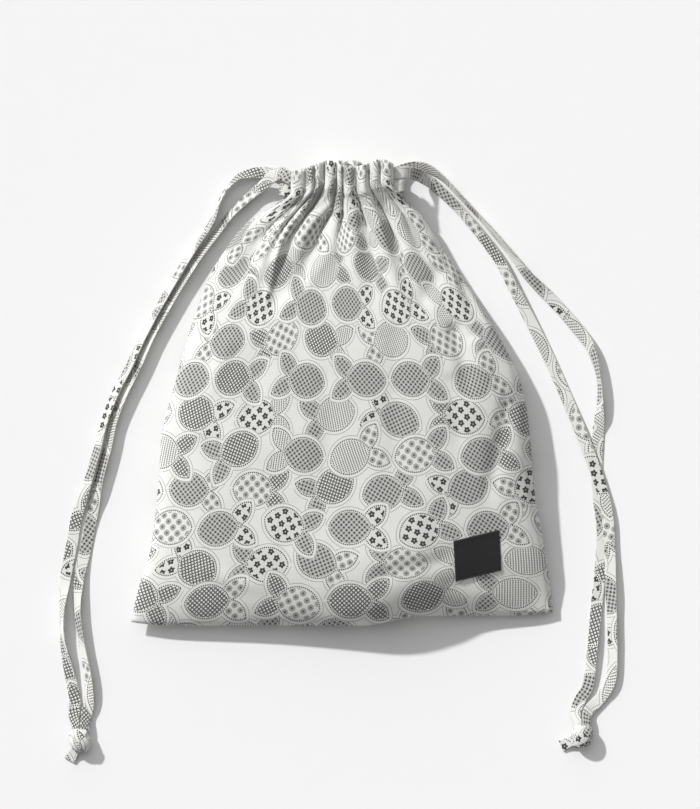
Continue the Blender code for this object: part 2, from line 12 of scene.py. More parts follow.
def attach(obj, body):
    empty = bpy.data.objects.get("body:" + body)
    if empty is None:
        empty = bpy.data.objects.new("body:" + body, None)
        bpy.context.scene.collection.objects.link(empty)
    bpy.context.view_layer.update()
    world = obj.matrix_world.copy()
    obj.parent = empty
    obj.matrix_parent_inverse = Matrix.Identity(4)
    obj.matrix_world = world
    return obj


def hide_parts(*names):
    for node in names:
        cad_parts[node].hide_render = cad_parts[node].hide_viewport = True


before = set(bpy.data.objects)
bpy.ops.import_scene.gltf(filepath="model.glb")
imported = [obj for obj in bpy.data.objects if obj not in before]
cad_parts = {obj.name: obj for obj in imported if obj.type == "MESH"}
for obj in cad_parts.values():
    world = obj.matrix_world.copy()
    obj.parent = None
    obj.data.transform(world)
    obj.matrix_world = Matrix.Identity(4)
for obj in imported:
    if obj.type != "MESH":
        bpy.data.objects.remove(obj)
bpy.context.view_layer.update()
print("frame loaded")


# Small tools

def toLinear(hexColour):
    parts = [int(hexColour[i:i + 2], 16) / 255 for i in (1, 3, 5)]
    return [p / 12.92 if p <= 0.04045 else ((p + 0.055) / 1.055) ** 2.4 for p in parts] + [1.0]


def ease(start, end, value):
    share = min(max((value - start) / (end - start), 0.0), 1.0)
    return share * share * (3 - 2 * share)


def mix(a, b, share):
    return a + (b - a) * share


def readCurve(points, value):  # smooth curve through (place, value) points
    if value <= points[0][0]:
        return points[0][1]
    for i in range(len(points) - 1):
        (a, low), (b, high) = points[i], points[i + 1]
        if value > b:
            continue
        before = points[max(i - 1, 0)]
        after = points[min(i + 2, len(points) - 1)]
        slopeIn = (high - before[1]) / (b - before[0])
        slopeOut = (after[1] - low) / (after[0] - a)
        t = (value - a) / (b - a)
        bendIn = slopeIn * (b - a) * (t * t * t - 2 * t * t + t)
        bendOut = slopeOut * (b - a) * (t * t * t - t * t)
        return low + (high - low) * t * t * (3 - 2 * t) + bendIn + bendOut
    return points[-1][1]


def superellipse(x, power):
    return max(1 - abs(x) ** power, 0.0) ** (1 / power)


def catmull(a, b, c, d, t):
    return 0.5 * (2 * b + (c - a) * t + (2 * a - 5 * b + 4 * c - d) * t * t + (3 * b - a - 3 * c + d) * t**3)


def pickOnly(obj):
    bpy.ops.object.select_all(action="DESELECT")
    obj.select_set(True)
    bpy.context.view_layer.objects.active = obj


def applyAll(obj):
    pickOnly(obj)
    for modifier in list(obj.modifiers):
        bpy.ops.object.modifier_apply(modifier=modifier.name)


def meshObject(name, verts, faces, material, cornerUvs=None):  # one UV for each corner of each face
    mesh = bpy.data.meshes.new(name)
    mesh.from_pydata([tuple(v) for v in verts], [], faces)
    if cornerUvs is not None:
        layer = mesh.uv_layers.new(name="cloth")
        for corner, uv in enumerate(cornerUvs):
            layer.data[corner].uv = uv
    mesh.materials.append(material)
    mesh.shade_smooth()
    obj = bpy.data.objects.new(name, mesh)
    bpy.context.collection.objects.link(obj)
    return obj


def faceOutward(obj):
    bm = bmesh.new()
    bm.from_mesh(obj.data)
    bmesh.ops.recalc_face_normals(bm, faces=bm.faces)
    bm.to_mesh(obj.data)
    bm.free()


# Materials

def addNode(tree, kind, inputs=(), **settings):
    node = tree.nodes.new("ShaderNode" + kind)
    for name, value in settings.items():
        setattr(node, name, value)
    given = inputs.items() if isinstance(inputs, dict) else enumerate(inputs)
    for key, value in given:
        if isinstance(value, bpy.types.Node):
            value = value.outputs[0]
        if isinstance(value, bpy.types.NodeSocket):
            tree.links.new(value, node.inputs[key])
        elif value is not None:
            node.inputs[key].default_value = value
    return node


def runSteps(tree, known, steps):  # each step is (name of the result, what to do, values or earlier names)
    for name, operation, *values in steps:
        inputs = [known[v] if isinstance(v, str) else v for v in values]
        known[name] = addNode(tree, "Math", inputs, operation=operation)


def newMaterial(name, roughness, specular=0.3, sheen=0.0):
    material = bpy.data.materials.new(name)
    material.use_nodes = True
    shader = material.node_tree.nodes["Principled BSDF"]
    shader.inputs["Roughness"].default_value = roughness
    shader.inputs["Specular IOR Level"].default_value = specular
    shader.inputs["IOR"].default_value = 1.53
    shader.inputs["Sheen Weight"].default_value = sheen
    shader.inputs["Sheen Roughness"].default_value = 0.5
    return material, material.node_tree, shader


cotton = {
    "cloth": "#E6E6E3",  # bleached sheeting
    "shade": "#E1E1DD",
    # painted shade: warm beige laid on the tapes' side edges and the knots' wrap edges
    "paintedEdgeShade": "#C6C1B4",
    "ink": "#1E1E1E",
    "roughness": 0.88,
    "fuzz": 0.85,
    "slub": 0.0011,  # thread pairs are 0.5 mm apart; drawn at 1.1 mm so that they show
    "slubHeight": 0.00006,
}

# The print, in millimetres of cloth: sprigs of one broad leaf and two small ones, in two layers.
# A leaf is what two circles share; "arc" is the circle's radius and "set" its centre behind the leaf's axis.
sprig = {
    "pitch": (48.0, 50.0),
    "lean": 0.9,
    "broad": {"x": -6.8, "arc": 16.48, "set": 3.98},
    "small": {"x": 10.8, "y": 7.2, "turn": 0.7, "arc": 13.12, "set": 6.32},
    "beadInset": 0.9,
    "beadStep": 0.75,
    "beadSquare": 0.28,  # square of a bead's radius
    "fillInset": 1.8,
    "rim": 1.5,
    "rimHalf": 0.17,
    "rimInk": 0.7,
    "clearing": 0.4,  # beyond the rim, where the layer below stays hidden
}
# The fillings of the leaves, in millimetres. A pitch is half a repeat, an ink is a share of full black,
# and core, clear and disc are squares of a radius.
filling = {
    "spot": {"pitch": 1.8, "core": 1.0, "clear": 4.2, "ground": 0.44, "ink": 0.56, "paler": 0.35},
    "ring": {"pitch": 1.5, "radius": 1.1, "half": 0.42, "ink": 0.92},
    "dash": {"pitch": 0.9, "half": 0.45, "rowPitch": 0.7, "length": 0.52, "ink": 0.85},
    "roundel": {"pitch": 3.9, "disc": 9.6, "core": 1.0, "ground": 0.5, "ink": 0.45},
    "flower": {"pitch": 4.4, "petals": 5.0, "wave": 0.55, "radius": 2.95, "eye": 0.55, "ground": 0.07},
}
cellSteps = (
    ("columnPlace", "DIVIDE", "x", sprig["pitch"][0]),
    ("rowPlace", "DIVIDE", "y", sprig["pitch"][1]),
    ("column", "FLOOR", "columnPlace"),
    ("row", "FLOOR", "rowPlace"),
    ("acrossShare", "SUBTRACT", "columnPlace", "column"),
    ("upShare", "SUBTRACT", "rowPlace", "row"),
    ("across", "MULTIPLY_ADD", "acrossShare", sprig["pitch"][0], -sprig["pitch"][0] / 2),
    ("up", "MULTIPLY_ADD", "upShare", sprig["pitch"][1], -sprig["pitch"][1] / 2),
)
turnSteps = (
    ("otherWay", "GREATER_THAN", "chanceB", 0.5),
    ("leaning", "MULTIPLY_ADD", "chanceA", sprig["lean"], -sprig["lean"] / 2),
    ("turn", "MULTIPLY_ADD", "otherWay", math.pi, "leaning"),
)


def leafSteps(name, x, y, leaf):  # how far outside a leaf's edge a spot is, and the beads along the edge
    arc = leaf["arc"]
    return (
        (name + "Set", "ADD", y, leaf["set"]),
        (name + "Square", "MULTIPLY", name + "Set", name + "Set"),
        (name + "All", "MULTIPLY_ADD", x, x, name + "Square"),
        (name + "Reach", "SQRT", name + "All"),
        (name + "Edge", "SUBTRACT", name + "Reach", arc),
        (name + "Angle", "ARCTAN2", x, name + "Set"),
        (name + "Run", "MULTIPLY", name + "Angle", arc - sprig["beadInset"]),
        (name + "Bead", "PINGPONG", name + "Run", sprig["beadStep"]),
        (name + "Off", "ADD", name + "Edge", sprig["beadInset"]),
        (name + "BeadSquare", "MULTIPLY", name + "Bead", name + "Bead"),
        (name + "Spot", "MULTIPLY_ADD", name + "Off", name + "Off", name + "BeadSquare"),
        (name + "Dot", "LESS_THAN", name + "Spot", sprig["beadSquare"]),
        (name + "In", "LESS_THAN", name + "Edge", -sprig["fillInset"]),
    )


small = sprig["small"]
turnCos, turnSin = math.cos(small["turn"]), math.sin(small["turn"])
sprigSteps = (
    ("fromAxis", "ABSOLUTE", "qy"),
    ("broadX", "SUBTRACT", "px", sprig["broad"]["x"]),
    *leafSteps("broad", "broadX", "fromAxis", sprig["broad"]),
    ("smallA", "MULTIPLY_ADD", "px", turnCos, -small["x"] * turnCos - small["y"] * turnSin),
    ("smallX", "MULTIPLY_ADD", "fromAxis", turnSin, "smallA"),
    ("smallB", "MULTIPLY_ADD", "px", -turnSin, small["x"] * turnSin - small["y"] * turnCos),
    ("smallC", "MULTIPLY_ADD", "fromAxis", turnCos, "smallB"),
    ("smallY", "ABSOLUTE", "smallC"),
    *leafSteps("small", "smallX", "smallY", small),
    ("smallFree", "GREATER_THAN", "broadEdge", 0.0),
    ("nearest", "MINIMUM", "broadEdge", "smallEdge"),
    ("covered", "LESS_THAN", "nearest", sprig["rim"] + sprig["clearing"]),
    ("rimLine", "COMPARE", "nearest", sprig["rim"], sprig["rimHalf"]),
    ("rimInk", "MULTIPLY", "rimLine", sprig["rimInk"]),
    ("smallDots", "MULTIPLY", "smallDot", "smallFree"),
    ("smallLeaf", "MULTIPLY", "smallIn", "smallFree"),
    ("leaf", "MAXIMUM", "broadIn", "smallLeaf"),
    ("beads", "MAXIMUM", "broadDot", "smallDots"),
    ("lines", "MAXIMUM", "beads", "rimInk"),
)
spot, ring, dash, roundel, flower = filling.values()
fillSteps = (
    # tie-dyed spots: dark dots on a grey ground, set on the slant
    ("slantA", "ADD", "px", "qy"),
    ("slantB", "SUBTRACT", "px", "qy"),
    ("dotA", "PINGPONG", "slantA", spot["pitch"]),
    ("dotB", "PINGPONG", "slantB", spot["pitch"]),
    ("dotSquare", "MULTIPLY", "dotA", "dotA"),
    ("dotSpot", "MULTIPLY_ADD", "dotB", "dotB", "dotSquare"),
    ("dotDark", "LESS_THAN", "dotSpot", spot["core"]),
    ("dotLight", "GREATER_THAN", "dotSpot", spot["clear"]),
    ("dotTone", "MULTIPLY_ADD", "dotDark", spot["ink"], spot["ground"]),
    ("spots", "MULTIPLY_ADD", "dotLight", -spot["paler"], "dotTone"),
    # rings in a square lattice
    ("ringA", "PINGPONG", "px", ring["pitch"]),
    ("ringB", "PINGPONG", "qy", ring["pitch"]),
    ("ringSquare", "MULTIPLY", "ringA", "ringA"),
    ("ringSpot", "MULTIPLY_ADD", "ringB", "ringB", "ringSquare"),
    ("ringReach", "SQRT", "ringSpot"),
    ("ringDark", "COMPARE", "ringReach", ring["radius"], ring["half"]),
    ("rings", "MULTIPLY", "ringDark", ring["ink"]),
    # rows of dashes
    ("stripeA", "PINGPONG", "px", dash["pitch"]),
    ("stripeDark", "LESS_THAN", "stripeA", dash["half"]),
    ("stripeB", "PINGPONG", "qy", dash["rowPitch"]),
    ("stripeGap", "LESS_THAN", "stripeB", dash["length"]),
    ("stripeBoth", "MULTIPLY", "stripeDark", "stripeGap"),
    ("stripes", "MULTIPLY", "stripeBoth", dash["ink"]),
    # grey roundels with a dark middle
    ("roundA", "PINGPONG", "slantA", roundel["pitch"]),
    ("roundB", "PINGPONG", "slantB", roundel["pitch"]),
    ("roundSquare", "MULTIPLY", "roundA", "roundA"),
    ("roundSpot", "MULTIPLY_ADD", "roundB", "roundB", "roundSquare"),
    ("roundDisc", "LESS_THAN", "roundSpot", roundel["disc"]),
    ("roundCore", "LESS_THAN", "roundSpot", roundel["core"]),
    ("roundGrey", "MULTIPLY", "roundDisc", roundel["ground"]),
    ("roundels", "MULTIPLY_ADD", "roundCore", roundel["ink"], "roundGrey"),
    # black five-petalled flowers
    ("flowerA", "WRAP", "slantA", flower["pitch"], -flower["pitch"]),
    ("flowerB", "WRAP", "slantB", flower["pitch"], -flower["pitch"]),
    ("flowerSquare", "MULTIPLY", "flowerA", "flowerA"),
    ("flowerSpot", "MULTIPLY_ADD", "flowerB", "flowerB", "flowerSquare"),
    ("flowerReach", "SQRT", "flowerSpot"),
    ("flowerTurn", "ARCTAN2", "flowerA", "flowerB"),
    ("flowerFive", "MULTIPLY", "flowerTurn", flower["petals"]),
    ("flowerWave", "COSINE", "flowerFive"),
    ("flowerRim", "MULTIPLY_ADD", "flowerWave", flower["wave"], flower["radius"]),
    ("flowerIn", "LESS_THAN", "flowerReach", "flowerRim"),
    ("flowerEye", "GREATER_THAN", "flowerReach", flower["eye"]),
    ("flowerDark", "MULTIPLY", "flowerIn", "flowerEye"),
    ("flowers", "MAXIMUM", "flowerDark", flower["ground"]),
    # which filling a leaf has: the middle and the half width of its share of the chances
    ("isSpots", "COMPARE", "choice", 0.15, 0.15),
    ("isRings", "COMPARE", "choice", 0.41, 0.11),
    ("isFlowers", "COMPARE", "choice", 0.62, 0.1),
    ("isRoundels", "COMPARE", "choice", 0.81, 0.09),
    ("isStripes", "COMPARE", "choice", 0.95, 0.05),
    ("fillA", "MULTIPLY", "spots", "isSpots"),
    ("fillB", "MULTIPLY_ADD", "rings", "isRings", "fillA"),
    ("fillC", "MULTIPLY_ADD", "stripes", "isStripes", "fillB"),
    ("fillD", "MULTIPLY_ADD", "roundels", "isRoundels", "fillC"),
    ("fillE", "MULTIPLY_ADD", "flowers", "isFlowers", "fillD"),
    ("fill", "MULTIPLY", "fillE", "leaf"),
    ("ink", "MAXIMUM", "fill", "lines"),
)


def drawLayer(tree, place, shift, seed):  # one layer of sprigs; gives its ink and where it covers the cloth
    spot = addNode(tree, "SeparateXYZ", (addNode(tree, "VectorMath", (place, shift), operation="ADD"),))
    known = {"x": spot.outputs[0], "y": spot.outputs[1]}
    runSteps(tree, known, cellSteps)
    cell = addNode(tree, "CombineXYZ", (known["column"], known["row"], seed))
    chance = addNode(tree, "TexWhiteNoise", (cell,), noise_dimensions="3D")
    chances = addNode(tree, "SeparateColor", (chance.outputs["Color"],))
    known.update(chanceA=chances.outputs[0], chanceB=chances.outputs[1])
    runSteps(tree, known, turnSteps)
    local = addNode(tree, "CombineXYZ", (known["across"], known["up"], 0.0))
    turned = addNode(
        tree, "VectorRotate", {"Vector": local, "Angle": known["turn"].outputs[0]}, rotation_type="Z_AXIS"
    )
    parts = addNode(tree, "SeparateXYZ", (turned,))
    known.update(px=parts.outputs[0], qy=parts.outputs[1])
    runSteps(tree, known, sprigSteps)
    patch = addNode(tree, "CombineXYZ", (known["smallFree"], 0.0, 7.0))
    apart = addNode(tree, "VectorMath", (cell, patch), operation="ADD")
    known["choice"] = addNode(tree, "TexWhiteNoise", (apart,), noise_dimensions="3D").outputs["Value"]
    runSteps(tree, known, fillSteps)
    return known["ink"], known["covered"]


def drawPrint(tree, place):  # place is the spot on the cloth in millimetres
    upper, covered = drawLayer(tree, place, (0.0, 0.0, 0.0), 3.0)
    lower, _ = drawLayer(tree, place, (sprig["pitch"][0] / 2, sprig["pitch"][1] / 2, 0.0), 11.0)
    known = {"upper": upper, "covered": covered, "lower": lower}
    runSteps(tree, known, (
        ("free", "SUBTRACT", 1.0, "covered"),
        ("seen", "MULTIPLY", "lower", "free"),
        ("both", "MAXIMUM", "seen", "upper"),
        ("print", "MINIMUM", "both", 1.0),
    ))
    return known["print"]


def clothMaterial(name, turn, shift):
    # screen-printed cotton sheeting, plain weave: matt, soft white, crisp grey and black print
    material, tree, shader = newMaterial(name, cotton["roughness"], specular=0.2, sheen=0.05)
    shader.inputs["Diffuse Roughness"].default_value = cotton["fuzz"]
    uv = addNode(tree, "UVMap", uv_map="cloth")
    toMillimetres = {"Vector": uv, "Scale": (1000, 1000, 1000), "Rotation": (0, 0, turn), "Location": shift}
    inMillimetres = addNode(tree, "Mapping", toMillimetres)
    ink = drawPrint(tree, inMillimetres)
    worn = addNode(tree, "TexNoise", {"Vector": inMillimetres, "Scale": 1.7, "Detail": 2.0})
    cover = addNode(
        tree, "MapRange", {"Value": worn, "From Min": 0.3, "From Max": 0.7, "To Min": 0.86, "To Max": 1.0}
    )
    inked = addNode(tree, "Math", (ink, cover), operation="MULTIPLY")
    cloudy = addNode(tree, "TexNoise", {"Vector": inMillimetres, "Scale": 0.03, "Detail": 3.0})
    ground = addNode(
        tree, "Mix",
        {"Factor": cloudy.outputs[0], 6: toLinear(cotton["cloth"]), 7: toLinear(cotton["shade"])},
        data_type="RGBA",
    )
    colour = addNode(
        tree, "Mix",
        {"Factor": inked.outputs[0], 6: ground.outputs[2], 7: toLinear(cotton["ink"])},
        data_type="RGBA",
    )
    # painted shade: the "edge" attribute turns the tapes' side edges and the knots' wrap edges warm beige
    edge = addNode(tree, "Attribute", attribute_name="edge")
    edgeShaded = addNode(
        tree, "Mix",
        {"Factor": edge.outputs["Fac"], 6: colour.outputs[2], 7: toLinear(cotton["paintedEdgeShade"])},
        data_type="RGBA",
    )
    tree.links.new(edgeShaded.outputs[2], shader.inputs["Base Color"])
    threads = 1 / (cotton["slub"] * 1000)
    heights = []
    for stretch in ((threads, threads * 0.12, 1), (threads * 0.12, threads, 1)):
        along = addNode(tree, "Mapping", {"Vector": inMillimetres, "Scale": stretch})
        heights.append(addNode(tree, "TexNoise", {"Vector": along, "Scale": 1.0, "Detail": 1.0}))
    weave = addNode(tree, "Math", (heights[0].outputs[0], heights[1].outputs[0]), operation="ADD")
    bump = addNode(
        tree, "Bump", {"Height": weave.outputs[0], "Strength": 0.5, "Distance": cotton["slubHeight"] * 4}
    )
    tree.links.new(bump.outputs[0], shader.inputs["Normal"])
    return material


woven = {
    "dark": "#151515",
    "light": "#2C2C2D",
    "ribs": 330.0,
    "picks": 900.0,
    "ribHeight": 0.0001,
}


def labelMaterial():
    # damask-woven polyester label: black, faintly glossy, fine ribs across
    material, tree, shader = newMaterial("damask-woven polyester label", 0.5, specular=0.4, sheen=0.2)
    uv = addNode(tree, "UVMap", uv_map="cloth")
    ribs = addNode(
        tree, "TexWave", {"Vector": uv, "Scale": woven["ribs"], "Distortion": 0.4, "Detail": 1.0},
        wave_type="BANDS", bands_direction="Y",
    )
    picks = addNode(tree, "TexNoise", {"Vector": uv, "Scale": woven["picks"], "Detail": 2.0})
    both = addNode(tree, "Math", (ribs.outputs[1], picks.outputs[0]), operation="MULTIPLY")
    colour = addNode(
        tree, "Mix",
        {"Factor": both.outputs[0], 6: toLinear(woven["dark"]), 7: toLinear(woven["light"])},
        data_type="RGBA",
    )
    tree.links.new(colour.outputs[2], shader.inputs["Base Color"])
    bump = addNode(tree, "Bump", {"Height": ribs.outputs[1], "Strength": 0.6, "Distance": woven["ribHeight"]})
    tree.links.new(bump.outputs[0], shader.inputs["Normal"])
    return material


def threadMaterial(name, colour):
    # spun polyester sewing thread: slightly glossy
    material, tree, shader = newMaterial(name, 0.55, specular=0.4, sheen=0.1)
    place = addNode(tree, "TexCoord")
    fleck = addNode(tree, "TexNoise", {"Vector": place.outputs["Object"], "Scale": 2500.0, "Detail": 1.0})
    dark = [c * 0.82 for c in toLinear(colour)[:3]] + [1.0]
    tone = addNode(tree, "Mix", {"Factor": fleck.outputs[0], 6: dark, 7: toLinear(colour)}, data_type="RGBA")
    tree.links.new(tone.outputs[2], shader.inputs["Base Color"])
    return material


clothFinish = clothMaterial("screen-printed cotton sheeting", 0.0, (12.0, 8.0, 0.0))
tapeFinish = clothMaterial("cotton sheeting tape, cut on the slant", 0.62, (31.0, 57.0, 0.0))
labelFinish = labelMaterial()
whiteThread = threadMaterial("white spun polyester thread", "#E8E8E4")
blackThread = threadMaterial("black spun polyester thread", "#1C1C1C")
print("materials made")


# Camera, light and floor

studio = {
    "lens": 300.0,
    "viewHeight": 0.534,  # metres of floor from the top to the bottom of the picture
    "aim": (0.00515, -0.0076),
    "sunFrom": (-1.0, 1.05, 1.0),
    "sunStrength": 3.2,
    "sunSize": 2.6,
    "skyFrom": (-0.35, 1.0, 0.9),  # a wide soft light beyond the neck
    "skyStrength": 1.05,
    "skySize": 80.0,
    "fill": 0.26,
    "floor": "#EFEFEF",
    "floorGrain": "#F0F0F0",
    "floorSize": 6.0,
}


def setStage():
    camera = bpy.data.cameras.new("camera")
    camera.lens = studio["lens"]
    distance = studio["viewHeight"] * studio["lens"] / camera.sensor_width
    camera.clip_end = distance * 4
    cameraObject = bpy.data.objects.new("camera", camera)
    cameraObject.location = (*studio["aim"], distance)
    bpy.context.collection.objects.link(cameraObject)
    bpy.context.scene.camera = cameraObject

    for name in ("sun", "sky"):
        light = bpy.data.lights.new(name, "SUN")
        light.energy = studio[name + "Strength"]
        light.angle = math.radians(studio[name + "Size"])
        lightObject = bpy.data.objects.new(name, light)
        lightObject.rotation_euler = Vector(studio[name + "From"]).to_track_quat("Z", "Y").to_euler()
        bpy.context.collection.objects.link(lightObject)

    world = bpy.context.scene.world or bpy.data.worlds.new("studio")
    bpy.context.scene.world = world
    world.use_nodes = True
    background = world.node_tree.nodes["Background"]
    background.inputs[0].default_value = (1.0, 1.0, 1.0, 1.0)
    background.inputs[1].default_value = studio["fill"]

    bpy.ops.mesh.primitive_plane_add(size=studio["floorSize"], location=(0, 0, 0))
    floor = bpy.context.object
    floor.name = "floor"
    # matt white paper sweep: even and without gloss, with a trace of grain
    paper, tree, shader = newMaterial("matt white paper sweep", 0.95, specular=0.0)
    place = addNode(tree, "TexCoord")
    grain = addNode(tree, "TexNoise", {"Vector": place.outputs["Object"], "Scale": 60.0, "Detail": 2.0})
    tone = addNode(
        tree, "Mix",
        {"Factor": grain.outputs[0], 6: toLinear(studio["floor"]), 7: toLinear(studio["floorGrain"])},
        data_type="RGBA",
    )
    tree.links.new(tone.outputs[2], shader.inputs["Base Color"])
    floor.data.materials.append(paper)
    bpy.context.scene.view_settings.view_transform = "Standard"


setStage()
print("camera, light and floor set")


# The pouch's cloth

pouch = {
    "length": 0.306,
    "width": 0.277,
    "thickness": 0.046,
    "neckWidth": 0.067,
    "cloth": 0.0006,
    "neckOpening": 0.006,  # between the front's and the back's tunnels
    "frontPleat": 0.005,
    "backPleat": 0.004,
    "swell": 0.8,
    "pleatLean": 0.0016,  # how far a lean of 1 shifts the ridge of a pleat
    "pleatSlack": 0.72,  # how much more cloth the sides of a pleat take up than its ridge
    "tunnel": 0.0206,
    "foldRound": 0.0014,
    "hemClosing": 0.003,
    "seamLift": 0.0021,  # the hem's seam lies nearer the outer wall of the tunnel
    "seamGap": 0.0003,
    "hemPuff": 0.0005,  # the cloth bunches a little between the two tapes
    "slit": 0.0256,
    "mouthFlare": 0.0105,
    "backMouthStep": 0.012,
    "backDrop": (0.005, 0.0025),  # of the back's top edge, towards its left and its right end
    "lowerLane": 0.01445,  # middles of the tapes' two lanes, below the top edge
    "upperLane": 0.00575,
    "wallGap": 0.00185,  # from the middle of a tunnel to its walls
    "neckRun": 0.09,  # share of the length over which the body runs into the neck
    "rollDepth": 0.05,
    "foldEnds": (0.009, 0.006),  # height of the bottom fold at its left and its right end
    "foldRise": 0.005,
    "crestRise": 0.014,
    "crestPlace": 0.24,
    "crestSpread": (0.48, 0.27),  # to the left and to the right of it
    "crestReach": 0.35,
    "rightRise": 0.0065,  # the right end of the bottom fold lies higher up the picture
    "cornerRise": 0.0024,
    "backSag": 0.004,
    "uvStretch": 1.03,  # the cloth is a little longer than the pouch it makes
    "columns": 14,  # in each pleat
}
pouch["top"] = pouch["length"] / 2
pouch["slitShare"] = 1 - pouch["slit"] / pouch["length"]
pouch["neckShare"] = pouch["slitShare"] - pouch["neckRun"]
pouch["backLevel"] = pouch["cloth"] / 2 + pouch["backPleat"] + pouch["wallGap"]
pouch["frontLevel"] = (
    pouch["backLevel"] + 2 * pouch["wallGap"] + pouch["backPleat"] + pouch["frontPleat"]
    + pouch["cloth"] + pouch["neckOpening"]
)

# How squarely the pouch is filled, as powers of a superellipse: 2 is round, and more is squarer
filled = {
    "across": 2.3,
    "rightFlank": (-0.35, 0.2),  # it falls away near the bottom, and is filled out above
    "shoulders": -0.45,
    "bottom": 1.95,
}
# Soft rolls of the loosely filled cloth: height, size, stretch across and up, seed
softRolls = ((0.0011, 0.055, 1.0, 1.0, 2.0), (0.0005, 0.02, 1.6, 0.7, 5.0))
seamPuckers = (0.0009, 0.016, 9.0)  # gathers along the side seams: height, size, seed

# Each side's outline: (share of the length, from 0 at the neck's half width to 1 at the bottom's)
leftOutline = (
    (0.0, 1.0), (0.04, 0.978), (0.1, 0.935), (0.16, 0.882), (0.3, 0.832), (0.42, 0.805),
    (0.52, 0.728), (0.634, 0.634), (0.765, 0.493), (0.83, 0.389), (0.879, 0.285), (0.925, 0.09),
)
rightOutline = (
    (0.0, 1.0), (0.1, 0.972), (0.2, 0.93), (0.3, 0.88), (0.44, 0.845), (0.54, 0.78),
    (0.65, 0.612), (0.765, 0.406), (0.832, 0.286), (0.884, 0.192), (0.925, 0.075),
)
# Heights of the side seams and of the crown: (share of the length, share of the thickness)
seamHeights = ((0.0, 0.25), (0.35, 0.21), (0.6, 0.19), (0.78, 0.17), (0.85, 0.2), (0.92, 0.34))
crownHeights = (
    (0.0, 0.56), (0.1, 0.7), (0.2, 0.83), (0.3, 0.925), (0.4, 0.98), (0.5, 1.0),
    (0.6, 0.98), (0.7, 0.89), (0.8, 0.765), (0.86, 0.68), (0.92, 0.56),
)

# Each pleat of the neck, left to right: width, depth as a share, lean of its ridge, where it fades
pleats = (
    (9.5, 0.75, -0.3, 0.62), (6.0, 0.8, 0.2, 0.72), (6.4, 1.0, -0.5, 0.60), (8.2, 1.15, 0.4, 0.66),
    (3.6, 0.7, 0.0, 0.76), (8.9, 1.05, -0.3, 0.70), (8.6, 1.25, 0.6, 0.62), (7.2, 0.9, 0.3, 0.72),
    (8.6, 0.8, -0.2, 0.66),
)
# How far each valley between two pleats wanders below the tunnel, as a share of the half width
valleyDrift = (0.0, -0.02, -0.05, -0.13, -0.12, -0.04, 0.03, 0.02, 0.0, 0.0)
# Drop of the front's top edge below the highest point: (place across the neck, metres)
topDips = (
    (-1.0, 0.0068), (-0.78, 0.0068), (-0.6, 0.0042), (-0.33, 0.0006), (-0.17, 0.0014), (0.0, 0.0036),
    (0.18, 0.0045), (0.32, 0.0044), (0.43, 0.003), (0.63, 0.0004), (0.8, 0.0), (0.94, 0.0014), (1.04, 0.0045),
)
# Creases on the front, in millimetres: rise (minus is a valley), half width, points
creases = (
    (-2.0, 2.4, ((-16, 134), (-20, 131), (-28, 123.8), (-36.4, 108.9), (-42, 99), (-46, 88))),
    (3.2, 5.0, ((-19, 131), (-28.5, 124), (-39.7, 105.6), (-46.3, 93.7), (-53.6, 78.5), (-65, 60))),
    (-3.4, 7.0, ((-40, 120), (-46.3, 111.5), (-60.9, 91), (-77.4, 70), (-84, 56))),
    (-4.8, 8.5, ((-4, 122), (-6.1, 115.5), (-19.9, 91), (-33.8, 68), (-49.6, 54.8), (-62, 40))),
    (2.1, 4.2, ((-6, 104), (-13.3, 84.5), (-24.6, 70), (-39, 54.8), (-50, 42))),
    (-2.2, 2.2, ((-5, 134), (-8.1, 128.7), (-15.3, 120.8), (-21, 112))),
    (-1.3, 1.6, ((8.4, 134), (8.6, 127.4), (9.5, 120))),
    (1.6, 3.6, ((14, 134), (15, 130.7), (21, 116.2), (25.6, 106), (29, 94))),
    (-3.4, 3.6, ((24, 130), (28.9, 119.5), (32.2, 108.9), (36.2, 99.7), (42, 88))),
    (-2.5, 6.0, ((8, 118), (11.7, 104.3), (15.7, 89.1), (18.3, 71.3), (22, 52))),
    (1.2, 3.2, ((25, 134), (38, 116), (47, 104))),
    (-2.4, 6.0, ((66, 84), (62.6, 77.9), (56.6, 66.7), (51.3, 58), (46, 46))),
    (-4.4, 4.5, ((62, 104), (67.8, 94.4), (77, 76.6), (81.7, 64), (87, 54.8), (92, 42))),
    (2.2, 3.8, ((68, 96), (72.5, 86.5), (74.4, 71.3), (79, 58), (84, 46))),
    (-4.2, 5.5, ((71, 48), (74.4, 36.3), (79, 21.8), (82.4, 5.9), (85, -10))),
    (2.2, 4.5, ((84, 38), (88.3, 27), (93.6, 16.5), (99, 2))),
    (-1.7, 7.0, ((33, 50), (34.2, 28.4), (35.5, -10), (36, -44), (38, -70))),
    (-1.6, 6.0, ((70, 14), (71.8, 4), (75.8, -31), (78, -50))),
    (-3.0, 6.0, ((109, 4), (106.8, -17.2), (102, -37.6), (96.9, -62.7), (92, -84))),
    (2.0, 6.0, ((-72, 40), (-77, 26), (-83, 12), (-92, -14))),
    (-2.0, 7.0, ((-98, -24), (-84, -41), (-67.5, -57.4), (-52.9, -73.9), (-40, -92))),
    (-1.9, 5.5, ((20, -122), (34.8, -116.8), (64.5, -110.2), (84, -96))),
    (1.6, 5.0, ((-100, -112), (-70, -124), (-40, -128))),
    (-0.9, 6.0, ((60, -128), (90, -122), (118, -126))),
    (-1.5, 8.0, ((-52, 36), (-58, 12), (-60, -14), (-57, -40))),
    (-1.4, 7.0, ((-14, 20), (-9, -8), (-8, -36), (-14, -66))),
)


def halfWidth(side, share):
    outline = leftOutline if side < 0 else rightOutline
    return pouch["neckWidth"] / 2 + readCurve(outline, share) * (pouch["width"] - pouch["neckWidth"]) / 2


def mouthHalfWidth(side, depth, back):
    width = pouch["neckWidth"] / 2 + pouch["mouthFlare"] * ease(pouch["lowerLane"], pouch["slit"], depth)
    if back and side < 0:
        width -= pouch["backMouthStep"] * (1 - ease(0, pouch["lowerLane"], depth))
    return width


